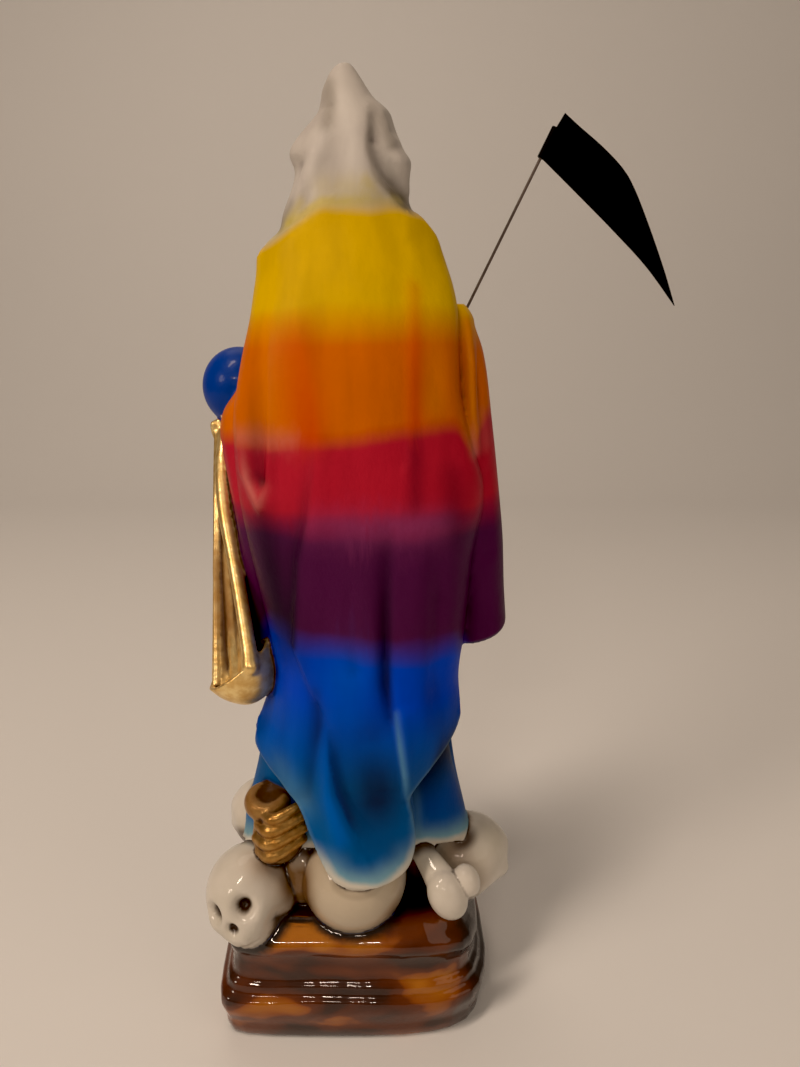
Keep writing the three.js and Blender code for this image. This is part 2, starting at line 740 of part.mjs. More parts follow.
// A solid as a named mesh
function meshOf(name, solid, look) {
  const { numProp, numVert, vertProperties, triVerts } = solid.getMesh();
  const place = new Float32Array(numVert * 3);
  for (let i = 0; i < numVert; i++) {
    place.set(vertProperties.subarray(i * numProp, i * numProp + 3), i * 3);
  }
  const geometry = new THREE.BufferGeometry();
  geometry.setAttribute("position", new THREE.BufferAttribute(place, 3));
  geometry.setIndex(new THREE.BufferAttribute(triVerts, 1));
  geometry.computeVertexNormals();
  const mesh = new THREE.Mesh(geometry, new THREE.MeshStandardMaterial(look));
  mesh.name = name;
  return mesh;
}

const model = new THREE.Group();
model.add(
  meshOf("figure", castFigure(), { color: 0xb8452a, roughness: 0.35, metalness: 0 }),
  meshOf("scythe_handle", rodAlongHandle(wire, 0, handleLength), {
    color: 0x3a3632,
    roughness: 0.4,
    metalness: 0.8,
  }),
  meshOf("scythe_blade", scytheBlade(), { color: 0x0c0c0d, roughness: 0.45, metalness: 0.2 }),
);

export default model;
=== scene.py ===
# A hooded skeleton figurine on a stepped plinth, seen from behind: one painted casting, a wire and a
# sheet blade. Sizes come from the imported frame; the shapes are worked out here at full fineness.
from math import pi, radians

import bmesh
import bpy
import numpy as np
from mathutils import Matrix, Vector
from mathutils.bvhtree import BVHTree


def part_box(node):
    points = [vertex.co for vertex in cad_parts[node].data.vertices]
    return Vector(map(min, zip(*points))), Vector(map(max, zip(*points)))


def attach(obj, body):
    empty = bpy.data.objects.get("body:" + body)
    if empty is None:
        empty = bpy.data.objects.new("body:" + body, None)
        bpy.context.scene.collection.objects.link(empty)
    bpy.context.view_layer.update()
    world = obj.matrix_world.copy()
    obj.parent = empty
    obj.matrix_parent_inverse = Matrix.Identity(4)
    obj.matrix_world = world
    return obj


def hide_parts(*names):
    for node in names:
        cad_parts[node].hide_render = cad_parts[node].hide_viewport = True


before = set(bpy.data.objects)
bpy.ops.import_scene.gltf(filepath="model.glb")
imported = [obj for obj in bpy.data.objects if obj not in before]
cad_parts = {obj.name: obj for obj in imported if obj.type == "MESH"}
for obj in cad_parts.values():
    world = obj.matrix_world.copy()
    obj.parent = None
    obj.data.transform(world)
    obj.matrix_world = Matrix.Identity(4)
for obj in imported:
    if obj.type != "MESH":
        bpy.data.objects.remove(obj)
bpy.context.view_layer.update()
scene = bpy.context.scene

# All lengths are in the figure's own units, 200 from the top of the plinth to the tip of the hood. The
# frame gives the size of a unit in metres, which is a millimetre on the frame as packed.
FIGURE_LOW, FIGURE_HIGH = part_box("figure")
UNITS_TALL, PLINTH_UNITS = 200, 32.3
UNIT = (FIGURE_HIGH.z - FIGURE_LOW.z) / (UNITS_TALL + PLINTH_UNITS)
PLINTH_TOP = FIGURE_LOW.z + PLINTH_UNITS * UNIT

sin, cos = np.sin, np.cos


# Curves, rings and skins


def along(keys, t):
    """A smooth curve through [position, value] pairs, flat beyond both ends."""
    place, value = np.array(keys, float).T
    last = len(place) - 1
    before, after = np.arange(-1, last).clip(0), np.arange(1, last + 2).clip(0, last)
    slope = (value[after] - value[before]) / (place[after] - place[before])
    t = np.clip(np.asarray(t, float), place[0], place[-1])
    i = np.clip(np.searchsorted(place, t, side="right"), 1, last)
    wide = place[i] - place[i - 1]
    h = (t - place[i - 1]) / wide
    bend = wide * (slope[i - 1] * h * (1 - h) ** 2 - slope[i] * h * h * (1 - h))
    return value[i - 1] + (value[i] - value[i - 1]) * h * h * (3 - 2 * h) + bend


def curve(corners, t):
    """A smooth curve through the corners, which are at even shares of its way, at the shares t."""
    share = shares(len(corners))
    columns = np.array(corners, float).T
    return np.stack([along(np.stack([share, column], 1), t) for column in columns], 1)


def unit(vector):
    return vector / np.linalg.norm(vector, axis=-1, keepdims=True)


def away_from(way, aim):
    """The angle between directions and one other."""
    return np.arccos(np.clip(way @ unit(np.array(aim, float)), -1, 1))


def mix(a, b, t):
    return a + (b - a) * t


def smooth(low, high, t):
    """0 below low, 1 above high, and smooth between them."""
    s = np.clip((np.asarray(t, float) - low) / (high - low), 0, 1)
    return s * s * (3 - 2 * s)


def bump(t, edge=1):
    """A smooth bump of height 1 at 0, with steeper sides for a higher edge."""
    return np.exp(-(np.abs(t) ** (2 * edge)))


def shares(count):
    return np.linspace(0, 1, count)


def turns(count):
    return np.arange(count) * 2 * pi / count


def oval(angle, half_x, half_y, squareness):
    """A point on an upright oval that is fuller than an ellipse when squareness is above 2."""
    across, deep = cos(angle), sin(angle)
    power = 2 / squareness
    return (half_x * np.sign(across) * np.abs(across) ** power,
            half_y * np.sign(deep) * np.abs(deep) ** power)


def points(x, y, z):
    return np.stack(np.broadcast_arrays(x, y, z), -1).astype(float)


def raised(x, y, z, angle, lift):
    """Points on upright ovals, moved out by their lift."""
    return points(x + lift * cos(angle), y + lift * sin(angle), z)


def skin(rings):
    """Vertices and faces of the closed solid inside a stack of rings, an array of rows by columns."""
    rows, count = rings.shape[:2]
    vertices = np.concatenate([rings.reshape(-1, 3), rings[:1].mean(1), rings[-1:].mean(1)])
    faces = []
    i = np.arange(count)
    j = (i + 1) % count
    for row in range(rows - 1):
        a, b = row * count, (row + 1) * count
        faces.append(np.stack([a + i, a + j, b + j], 1))
        faces.append(np.stack([a + i, b + j, b + i], 1))
    low, high = rows * count, rows * count + 1
    faces.append(np.stack([j, i, np.full(count, low)], 1))
    last = (rows - 1) * count
    faces.append(np.stack([last + i, last + j, np.full(count, high)], 1))
    return vertices, np.concatenate(faces)


def joined(solids):
    """Several solids as one list of vertices and faces."""
    vertices, faces, start = [], [], 0
    for own_vertices, own_faces in solids:
        vertices.append(own_vertices)
        faces.append(own_faces + start)
        start += len(own_vertices)
    return np.concatenate(vertices), np.concatenate(faces)


def bar(path, radii, around=20, count=40, flat=1.0):
    """A tapered round bar along a smooth curve through the points, each with its own radius."""
    shaped = curve(np.column_stack([path, radii]), shares(count))
    line, radius = shaped[:, :3], shaped[:, 3]
    way = unit(np.gradient(line, axis=0))
    side = unit(np.cross(way, [0.31, 0.62, 0.72]))
    other = np.cross(way, side)
    # Round ends: half a ball of the end's own radius
    bow = np.linspace(0, pi / 2, 6)[:-1]
    ends = [(line[k], out, side[k], other[k], radius[k]) for k, out in ((0, -way[0]), (-1, way[-1]))]
    caps = [[(p + out * r * cos(b), s, o, r * sin(b)) for b in bow] for p, out, s, o, r in ends]
    stack = caps[0] + list(zip(line, side, other, radius)) + caps[1][::-1]
    angle = turns(around)[:, None]
    return skin(np.array([p + r * (s * cos(angle) + flat * o * sin(angle)) for p, s, o, r in stack]))


def ball(at, size, turn=(0, 0, 0), around=48, count=32, relief=None):
    """A ball with one pole towards -Y before it is turned, and a relief that depends on the direction."""
    polar = np.linspace(0, pi, count)[:, None]
    angle = turns(around)[None, :]
    way = points(sin(polar) * cos(angle), -cos(polar), sin(polar) * sin(angle))
    reach = 1 if relief is None else relief(way)[..., None]
    return skin(turned(way * reach * np.array(size, float), turn) + np.array(at, float))


def turned(place, turn):
    """Points turned by three angles in degrees, Z first, then X, then Y."""
    x, y, z = (radians(v) for v in turn)
    matrix = Matrix.Rotation(z, 3, "Z") @ Matrix.Rotation(x, 3, "X") @ Matrix.Rotation(y, 3, "Y")
    return place @ np.array(matrix).T


def fold_height(x, z, fold):
    """Height of a fold: its reach to the right and to the left, and points of x, z and height.

    A path that runs down has its right at lower x, as seen from behind."""
    right, left, *path = fold
    closest = np.full(np.broadcast(x, z).shape, np.inf)
    lift = np.zeros_like(closest)
    for (x0, z0, high0), (x1, z1, high1) in zip(path, path[1:]):
        dx, dz = x1 - x0, z1 - z0
        t = np.clip(((x - x0) * dx + (z - z0) * dz) / (dx * dx + dz * dz), 0, 1)
        away = np.hypot(x - x0 - t * dx, z - z0 - t * dz)
        side = (x - x0) * dz - (z - z0) * dx
        own = mix(high0, high1, t) * bump(away / np.where(side > 0, right, left))
        lift = np.where(away < closest, own, lift)
        closest = np.minimum(away, closest)
    return lift


def folds_at(folds, x, z):
    return sum(fold_height(x, z, fold) for fold in folds)


# The plinth

PLINTH_WIDTH, PLINTH_DEPTH = 69.4, 53
CORNER_CUT = {1: (5, 5), -1: (14, 8)}  # what the corners at +X and at -X take off width and depth
PLINTH_PROFILE = [  # share of the height, and how far out
    (0, -0.9), (0.03, -0.3), (0.1, 0.2), (0.16, 0.3), (0.22, 0.7), (0.29, 1.1), (0.36, 1), (0.385, 0.7),
    (0.405, -0.2), (0.43, -0.7), (0.46, -0.8), (0.485, -0.9), (0.505, -1.7), (0.53, -2.2), (0.58, -2.3),
    (0.66, -2.5), (0.74, -2.1), (0.79, -1.6), (0.84, -1.8), (0.875, -2.5), (0.92, -3.9), (0.96, -5.1),
    (1, -6.6),
]
ROCK_WAVES = [  # how often the plinth's steps rise and fall round it, the phase and how far
    (2, 0.4, 0.022), (3, 2, 0.018), (5, 1, 0.012), (9, 4, 0.007),
]
DIP_X, DIP_WIDE, DIP_SHARE, DIP_TALL, DIP = -34, 9, 0.7, 0.3, 0.11  # where the steps run lower
CHIPS, CORNER_SHARE = 0.25, 0.22  # how deep the chips are, and what each pass cuts off a side


def rounded_plan(corners, passes, count):
    """A closed outline with its corners cut round, as evenly spaced points."""
    line = np.array(corners, float)
    for _ in range(passes):
        following = np.roll(line, -1, axis=0)
        cut = [mix(line, following, share) for share in (CORNER_SHARE, 1 - CORNER_SHARE)]
        line = np.stack(cut, 1).reshape(-1, 2)
    closed = np.vstack([line, line[:1]])
    length = np.concatenate([[0], np.cumsum(np.hypot(*np.diff(closed, axis=0).T))])
    at = np.linspace(0, length[-1], count, endpoint=False)
    return np.stack([np.interp(at, length, closed[:, k]) for k in range(2)], 1)


def plinth():
    half_x, half_y = PLINTH_WIDTH / 2, PLINTH_DEPTH / 2
    corners = []
    for side_x, side_y in ((1, 1), (-1, 1), (-1, -1), (1, -1)):
        cut_x, cut_y = CORNER_CUT[side_x]
        pair = [(half_x, half_y - cut_y), (half_x - cut_x, half_y)]
        corners += [(side_x * x, side_y * y) for x, y in (pair if side_x * side_y > 0 else pair[::-1])]
    plan = rounded_plan(corners, 2, 420)
    share = shares(90)[:, None]
    x, y = plan[None, :, 0], plan[None, :, 1]
    angle = np.arctan2(y, x)
    rise = sum(size * sin(often * angle + phase) for often, phase, size in ROCK_WAVES)
    rise = rise * sin(pi * share) - DIP * bump((x - DIP_X) / DIP_WIDE) * bump((share - DIP_SHARE) / DIP_TALL)
    chips = CHIPS * sin(7 * angle + 11 * share) * sin(4 * angle - 5 * share) * sin(pi * share)
    out = along(PLINTH_PROFILE, share - rise) + chips
    return skin(points(x * (1 + out / half_x), y * (1 + out / half_y), (share - 1) * PLINTH_UNITS))


# The robe, its sleeves and the cloak over it

ROBE_HEM, HEM_LIFT, ROBE_TOP = 11, 6, 165
ROBE_SQUARE, SLEEVE_SQUARE, CLOAK_SQUARE = 2.4, 2.3, 2.5  # squareness of their ovals
ROBE_COLUMNS, SLEEVE_COLUMNS = 300, 150
UNDER_HEM = (25, 17, 9)  # half width, front depth and back depth of the core below the hem
ROBE_SIDE = [(ROBE_HEM, 31.3), (20, 29.4), (37, 25.2), (60, 21.7), (100, 21.4), (140, 19.5), (155, 15),
             (ROBE_TOP, 9)]
ROBE_FRONT = [(ROBE_HEM, 22.5), (37, 19.5), (100, 16), (130, 15.5), (150, 12.5), (ROBE_TOP, 8)]
ROBE_BACK = [(ROBE_HEM, 15), (37, 13.5), (100, 12), (ROBE_TOP, 6)]
ROBE_PLEATS = [  # reach to the right and to the left, then points of x, z and height
    (2.4, 4.5, (-3, 132, 1), (-5, 12, 2.6)),
    (3.5, 2.2, (6, 120, 0.8), (9, 12, 2.4)),
    (2.6, 4, (-11, 110, 0.8), (-15, 12, 2.2)),
    (2, 2, (1, 80, 0.5), (1.5, 12, 1.4)),
    (3, 2.4, (14, 90, 0.7), (19, 12, 2)),
    (2.4, 2.4, (-19, 100, 0.6), (-25, 14, 1.8)),
]


def robe():
    angle = turns(ROBE_COLUMNS)[None, :]
    front = sin(angle) < 0
    hem = ROBE_HEM + HEM_LIFT * np.maximum(0, sin(angle))
    z = mix(hem, ROBE_TOP, shares(300)[:, None])
    deep = np.where(front, along(ROBE_FRONT, z), along(ROBE_BACK, z))
    x, y = oval(angle, along(ROBE_SIDE, z), deep, ROBE_SQUARE)
    lift = folds_at(ROBE_PLEATS, x, z) * front
    return skin(raised(x, y, z, angle, lift))


def under_robe():
    """What the hem hides: a core from the plinth up into the robe."""
    angle = turns(120)[None, :]
    wide, ahead, behind = UNDER_HEM
    x, y = oval(angle, wide, np.where(sin(angle) < 0, ahead, behind), ROBE_SQUARE)
    return skin(points(x, y, np.array([[-4], [ROBE_HEM + 2]])))


CLOAK_LEFT = [  # height and half width
    (33, 18.3), (39, 21.4), (44, 24), (47, 24.3), (52, 21.6), (63, 19.4), (71, 20.2), (80, 21.8), (95, 24.6),
    (108, 26.5), (122, 27), (131, 26), (139, 24.3), (148, 21.9), (155, 20.6), (161, 19.2), (164, 17.6),
    (166.5, 14.8), (170, 13.6), (176, 11.4), (179, 11), (182, 12), (184.5, 10.8), (190, 5.9), (195, 4.5),
    (198, 2.9),
]
CLOAK_RIGHT = [
    (35, 21), (45, 24.6), (52, 26.6), (61, 26.8), (70, 28), (90, 29.6), (97, 30.6), (105, 32), (112, 31.4),
    (119, 28.8), (126, 26.8), (132, 25.8), (140, 25.2), (151, 24.8), (159, 22.6), (165, 20), (168, 17.6),
    (171, 14.6), (176, 13.6), (180.5, 14.4), (183, 12.8), (187.5, 10.9), (190.5, 9.7), (193, 6.6), (198, 3),
]
CLOAK_BACK = [(14, 26.5), (24, 25.4), (38, 23), (60, 21), (90, 20), (120, 19), (140, 17.6), (155, 15.4),
              (166, 12.6), (178, 10.8), (186, 8.8), (194, 5.4), (198, 3)]
CLOAK_FRONT = [(146, 2), (156, 9), (164, 12), (172, 15), (180, 15.6), (187, 13), (193, 8.6), (198, 3.4)]
# The lower edge, from the figure's left round the back to its right: share of the way, x and z
CLOAK_HEM = [
    (0, 24.3, 47.5), (0.045, 24.3, 44.5), (0.09, 21.2, 40.5), (0.15, 17.4, 37.8), (0.21, 13.9, 34),
    (0.25, 11.6, 30.2), (0.29, 9.2, 25.2), (0.34, 7.1, 20.5), (0.39, 4.1, 15.8), (0.44, -1, 13.8),
    (0.49, -7.6, 14.2), (0.54, -14, 17.2), (0.58, -15.9, 23.4), (0.62, -15.2, 30.5), (0.66, -14.6, 36),
    (0.74, -19.4, 41), (0.83, -23.2, 44.6), (0.92, -26, 48), (1, -27.4, 52),
]
HEM_LIP = [(0.5, 0.3), (1.2, 0.4), (2, 0.1), (2.6, -0.8), (3, -3)]  # in and down from the lower edge
HEM_X = [(share, x) for share, x, z in CLOAK_HEM]
HEM_Z = [(share, z) for share, x, z in CLOAK_HEM]
HOOD_FOLDS = [
    (1.6, 2.2, (3.1, 194.5, -0.3), (2.8, 190.8, -1.3), (2.2, 187, -0.3)),  # left of the ridge
    (2.2, 2.4, (3.4, 185.3, 0), (5, 180.6, 1.2), (8.3, 173.9, 1.3), (11.2, 169, 0.6)),
    (1.2, 1.2, (5.6, 176.1, -0.2), (7.6, 171.8, -0.8), (9, 169.5, -0.6)),
    (1.6, 1.2, (9.1, 179.2, -0.8), (11.1, 172.3, -0.3)),
    (1.5, 4.2, (-4.8, 191.1, 0.2), (-5.2, 186.4, 0.9), (-4.3, 183.1, 1.3), (-4.9, 179.6, 1.4),
     (-7, 175.4, 1.6), (-10.8, 172.5, 1.8), (-14.1, 169.8, 1.3)),  # right edge of the ridge
    (1.2, 0.9, (-6.3, 188, -0.5), (-6.4, 183.6, -0.9)),
    (1.3, 1, (-7.6, 178.3, -0.4), (-9.7, 175.2, -0.9), (-11.6, 173, -1), (-13.9, 170.6, -1.4)),
    (1.3, 1.3, (-6.8, 191, 0.2), (-8.8, 187.2, 0.9), (-10.3, 184.3, 0.6)),
    (1.2, 1, (-9.5, 188.8, -0.5), (-10.5, 186.1, -0.8)),
    (1.5, 1.5, (-10.3, 182.2, 0.2), (-12.4, 179.3, 1), (-13.1, 174.4, 0.8)),
    (1, 1, (-10.2, 181, -0.3), (-11.4, 176, -0.6)),
]
COLLAR = [
    (0.9, 3.6, (17.4, 162, 1), (10.8, 165.7, 1.5), (8.1, 167.3, 1.4), (4.2, 170.7, 0.5)),
    (1, 3, (-13.4, 170.2, 0.6), (-17, 167.6, 1), (-19.3, 165.2, 0.7)),
]
MANTLE_FOLDS = [
    (5, 1.1, (5.7, 123, 0.1), (7.9, 105.1, 1.3), (10.1, 96.1, 1.7), (11.7, 75.1, 1.8), (9.4, 68, 1.5),
     (7.6, 62, 1)),  # edge of the panel
    (2.2, 3, (8.2, 66, -0.3), (7.2, 58, -1.2), (7.4, 53.4, -1.5), (8.7, 47.3, -1.6), (10.5, 36, -1.4),
     (11.6, 31, -0.8)),  # left of the pleat
    (4.5, 0.9, (5, 56, -0.2), (4.8, 47.6, -1.4), (3.4, 38, -1.8), (0.6, 31, -1.8), (-1, 28, -1.5),
     (-3, 24, -0.8)),  # right of the pleat
    (2, 2, (6.3, 52, 0.2), (6.4, 44, 0.8), (6, 36, 1.2), (4.4, 29, 1.2), (2.6, 24, 0.6)),  # the pleat
    (1.1, 1.8, (-9.1, 98, -0.3), (-8.9, 83, -1.3), (-8.8, 72.6, -1.6), (-9.2, 64.3, -1.6),
     (-9.9, 57.4, -0.8)),  # the groove in the middle
    (4, 1, (-10.6, 60, 0.3), (-11.4, 57, 1.4), (-12, 50, 1.9), (-13, 42.3, 2), (-13.7, 35.9, 1)),
    (4.6, 4.6, (-6, 49, -0.5), (-6.6, 38, -1.7), (-7.2, 30, -1.1)),
    (2.6, 2.6, (15, 44, 0.3), (13.6, 37.5, 0.8)),
    (2.6, 2.6, (-0.6, 101, -0.1), (-1.2, 70, -0.5)),
    (3, 3, (-21, 100, -0.3), (-21.6, 84, -1.2), (-21.2, 60, -0.8)),
    (3, 3, (-15.4, 70, 0.2), (-17.6, 56, 0.7), (-19, 48, 0.3)),
    (1.4, 3.5, (-12.6, 163, -0.2), (-12.8, 140, -0.5), (-12.7, 118, -0.4)),
    (4, 4, (7, 158, 0.1), (5.4, 140, 0.4), (3.4, 122, 0.2)),
    (2.6, 2.6, (20.6, 136, -0.2), (20.3, 124, -1.7), (19.9, 113, -2)),  # pocket over the left arm
    (1, 1.5, (25.7, 130.1, 0.1), (23.7, 120.3, 0.6), (23.3, 114.9, 1.1), (21.7, 111.6, 1.5),
     (19.6, 107, 0.6)),
    (1.5, 0.9, (16, 143.6, 0.2), (16.5, 124, 0.6), (16.6, 120, 0.9), (17.6, 114.5, 1.1), (19.4, 107, 0.6)),
    (1.8, 2.6, (-21.4, 156, 0.4), (-23, 148, 0.9), (-23.6, 132, 1), (-25.4, 124, 1), (-28, 116, 0.8),
     (-30, 110, 0.3)),  # rolled right edge
]
BACK_FOLDS = HOOD_FOLDS + COLLAR + MANTLE_FOLDS
FACE_Z, FACE_WIDE, FACE_TALL, FACE_DEEP = 177, 7.8, 10, 9
CLOAK_TOP, HEM_START = 198, 66  # the rows of the cloak are level above the second height
BACK_COLUMNS, FRONT_COLUMNS = 240, 70


def cloak_surface(share, z):
    """The cloak at a share of the way round and a height. The first half of the way is the back."""
    angle = 2 * pi * share
    back = share <= 0.5
    half = np.where(cos(angle) > 0, along(CLOAK_LEFT, z), along(CLOAK_RIGHT, z))
    deep = np.where(back, along(CLOAK_BACK, z), along(CLOAK_FRONT, z))
    x, y = oval(angle, half, deep, mix(CLOAK_SQUARE, 2, np.clip((z - 150) / 16, 0, 1)))
    lift = folds_at(BACK_FOLDS, x, z) * np.minimum(1, 4 * sin(angle) + 0.2) * back
    in_face = bump(np.hypot(x / FACE_WIDE, (z - FACE_Z) / FACE_TALL), 3) * ~back
    return raised(x, y + FACE_DEEP * in_face, z, angle, lift)


def cloak_hem(share, w):
    """The same below HEM_START, where the rows bend to the lower edge."""
    back = share <= 0.5
    z = mix(HEM_START, np.where(back, along(HEM_Z, share * 2), 50), w)
    level = cloak_surface(share, z)
    x = mix(level[..., 0], along(HEM_X, share * 2), w ** 2)
    half = np.where(x > 0, along(CLOAK_LEFT, z), along(CLOAK_RIGHT, z))
    inside = np.minimum(1, np.abs(x) / (half + 2))
    y = along(CLOAK_BACK, z) * (1 - inside ** CLOAK_SQUARE) ** (1 / CLOAK_SQUARE)
    bent = points(x, mix(level[..., 1], y + folds_at(BACK_FOLDS, x, z), w), z)
    return np.where(back[..., None], bent, level)


def cloak():
    round_back = np.linspace(0, 0.5, BACK_COLUMNS + 1)
    round_front = np.linspace(0.5, 1, FRONT_COLUMNS + 1)[1:-1]
    share = np.concatenate([round_back, round_front])[None, :]
    level = cloak_surface(share, np.linspace(CLOAK_TOP, HEM_START, 280)[:, None])
    hem = cloak_hem(share, shares(110)[1:, None])
    tip = np.array([-0.4, 0.4, UNITS_TALL])
    down = shares(6)[:-1, None, None]
    crown = tip + (level[:1] - tip) * np.concatenate([np.sqrt(down), np.sqrt(down), down], 2)
    back = (share <= 0.5)[..., None]
    lip = [np.where(back, hem[-1:] - [0, inward, drop], hem[-1:]) for inward, drop in HEM_LIP]
    return skin(np.concatenate([crown, level, hem] + lip))


SLEEVES = {
    "right": {
        "rows": [  # height, middle in x and y, half width and half depth
            (69.2, -32.8, -7.5, 6.4, 11), (69.8, -32.8, -7.5, 6.8, 11.6), (72, -32.7, -7.6, 6.8, 11.5),
            (80, -32.2, -8, 6.7, 11.5), (93, -31, -8.5, 7.2, 12.6), (107, -29.3, -9, 7.4, 13.2),
            (123, -27.3, -9.5, 7.4, 13.6), (140, -25.6, -9.5, 6.6, 12.6), (148, -24.6, -9, 4.8, 9.6),
            (151, -24.4, -8.5, 2.8, 6),
        ],
        "mouth": (112, 34, 7),  # height, how tall and how deep
        "tilt": -0.35,
        "folds": [
            (1.3, 1.5, (-26.8, 149, 0.6), (-28, 138, 1.9), (-28.6, 127, 1.9), (-30.4, 117, 0.4)),
            (1.2, 1.1, (-30.2, 146, -0.4), (-31, 132, -1.6), (-31.8, 117, -0.6)),
            (1.6, 1.6, (-32.6, 112, -0.3), (-33.6, 92, -0.7)),
        ],
    },
    "left": {
        "rows": [
            (66, 19.6, -8, 6, 10.5), (80, 21.4, -8, 6.2, 11.5), (95, 22.8, -8.5, 6.6, 12.5),
            (110, 24, -9, 7.3, 13.5), (120, 24.4, -9.5, 7.8, 14), (126, 23.8, -9.5, 7.2, 13.5),
            (131, 21, -9, 6.6, 12), (140, 17, -7, 6, 10), (150, 13.6, -4.5, 5.6, 8.4), (160, 10, -1, 5, 6),
        ],
        "mouth": (96, 26, 6),
        "tilt": 0.2,
        "folds": [(1.2, 1.4, (30.8, 118, -0.4), (28, 84, -1))],
    },
}


def sleeve(rows, mouth, tilt, folds):
    table = np.array(rows, float)
    middle_x, middle_y, wide, deep = (list(zip(table[:, 0], table[:, k])) for k in (1, 2, 3, 4))
    t = shares(180)[:, None]
    z = mix(table[0, 0], table[-1, 0], t)
    angle = turns(SLEEVE_COLUMNS)[None, :]
    dx, dy = oval(angle, along(wide, z), along(deep, z), SLEEVE_SQUARE)
    mouth_z, tall, hollow = mouth
    dent = hollow * np.maximum(0, -sin(angle)) ** 3 * bump((z - mouth_z) / tall, 2)
    x, y = along(middle_x, z) + dx, along(middle_y, z) + dy + dent
    lift = folds_at(folds, x, z) * smooth(-0.7, -0.3, sin(angle))
    return skin(raised(x, y, z + tilt * dx * (1 - t) ** 2, angle, lift))


# Skulls, hands, scales and owl

SKULL_RELIEF = [  # direction, angular radius, height and edge; mirrored where x isn't 0
    ((0, -0.66, -0.76), 0.46, 0.14, 1),  # upper jaw
    ((0.62, -0.7, -0.34), 0.24, 0.06, 1),  # cheekbone
    ((0.7, -0.28, -0.66), 0.34, -0.14, 1),  # hollow under the cheekbone
    ((0.88, -0.46, 0.06), 0.32, -0.05, 1),  # temple
    ((0.4, -0.88, 0.24), 0.24, 0.03, 1),  # brow
    ((0.39, -0.9, -0.1), 0.21, -0.32, 1.5),  # eye socket
    ((0, -0.88, -0.46), 0.14, -0.18, 1.3),  # nose
]
TEETH, TEETH_Z = 9, -0.8  # tooth gaps in a half turn, and the height where the jaws meet
SKULL_SHAPE = np.array([0.94, 1.08, 1])


def skull_relief(way):
    reach = np.ones(way.shape[:-1])
    for toward, wide, high, edge in SKULL_RELIEF:
        facing = points(np.abs(way[..., 0]), way[..., 1], way[..., 2]) if toward[0] else way
        reach += high * bump(away_from(facing, toward) / wide, edge)
    # Teeth: upright gaps and the line between the jaws, on the front of the mouth only
    mouth = bump(way[..., 0] / 0.34, 2) * bump((way[..., 2] - TEETH_Z) / 0.13, 2) * (way[..., 1] < 0)
    gap = bump(sin(TEETH * np.arctan2(way[..., 0], -way[..., 1])) / 0.4)
    bite = bump((way[..., 2] - TEETH_Z) / 0.025)
    return reach - 0.05 * mouth * np.maximum(gap, bite)


def skull(at, half_width, turn=(0, 0, 0)):
    return ball(at, SKULL_SHAPE * half_width, turn, 110, 90, skull_relief)


FIST = np.array([-23.6, -21, 139])
LEAN = radians(26)
HANDLE_WAY = np.array([-sin(LEAN), 0, cos(LEAN)])
GLOBE, GLOBE_RADIUS = np.array([29.4, -20, 131]), 9.5


def right_hand():
    parts = [ball(FIST + [-0.6, 1.6, 0], (3.4, 2.8, 4.4))]
    for k in range(4):
        centre = FIST + HANDLE_WAY * (3.9 - 2.6 * k)
        bend = [(-2.6, 2.4), (-3.2, -0.6), (0, -3), (3, -1)]
        path = [centre + [dx, dy, dx * 0.4] for dx, dy in bend]
        parts.append(bar(path, [1.25, 1.4, 1.35, 1.1], 16, 30))
    parts.append(bar([(-28, -8, 128), (-27, -15, 132), FIST + [-1, 2.4, -1.5]], [3.2, 2.4, 2.2]))
    return joined(parts)


def right_upper_arm():
    return bar([(-11, -2.5, 155), (-19, -6.5, 147), (-25.5, -9.5, 136)], [6, 6.4, 6], 40, 40)


def left_hand():
    parts = []
    for turn, reach in ((-60, 1), (-20, 1), (20, 1), (62, 0.8), (150, 0.45)):
        up = np.radians(-86 + reach * np.array([0, 28, 56, 82]))
        way = points(cos(up) * sin(radians(turn)), -cos(up) * cos(radians(turn)), sin(up))
        parts.append(bar(GLOBE + (GLOBE_RADIUS + 0.5) * way, [1.5, 1.3, 1.2, 0.9], 16, 30))
    x, y, z = GLOBE
    wrist = [(24.5, -8, z - 15), (26, -14, z - 13.5), (x, y, z - GLOBE_RADIUS - 1.6)]
    parts.append(bar(wrist, [3.4, 2.5, 2.4]))
    return joined(parts)


def globe():
    return ball(GLOBE - [0, 0, 0.6], (GLOBE_RADIUS, GLOBE_RADIUS, GLOBE_RADIUS + 0.6), (0, 0, 0), 80, 60)


BEAM_HEIGHT = 119.5
DISH_RIM, DISH_DEEP, DISH_RADIUS, DISH_WALL = 65, 11, 9.5, 1.2
DISH_OUTSIDE = [(0.02, 1), (0.55, 0.84), (0.88, 0.42), (1, 0)]  # shares of the radius and of the depth
DISH_INSIDE = [(1 - DISH_WALL / DISH_RADIUS, 0), (0.7, 0.4), (0.3, 0.58), (0.02, 0.62)]
HANGERS = [((34.6, -18), (28.2, 7), 0.65), ((15, -24), (11, -28.5), 0)]  # top, low end, lean of the dish
STRAP_TURN = 128  # one strap faces the viewer behind the figure
STRAPS_TOP, STRAPS_LOW = 1.4, DISH_RADIUS - 0.8  # how far the straps are from the hanger's middle line
EDGE_SHARE, WEB_TOP, WEB_LOW = 0.94, 0.66, 0.36  # of that, for the straps' edges and the web between
TOWARD_BODY = 0.14  # how much more the straps spread toward the body, and less away from it
NEAR_RIB = [  # share of its length, how far out and how far towards +X
    (0, 0, 0), (0.05, 0.3, 0.4), (0.16, 0.8, 1.4), (0.35, 0.7, 1.8), (0.6, 0.3, 0.9), (0.9, 0, 0), (1, 0, 0),
]
NEAR_RIB_RADII, RIB_RADII = [0.8, 1.4, 2, 2.1, 1.8, 1.9, 2.2], [0.8, 0.9, 1, 1, 1, 1.1, 1.2]
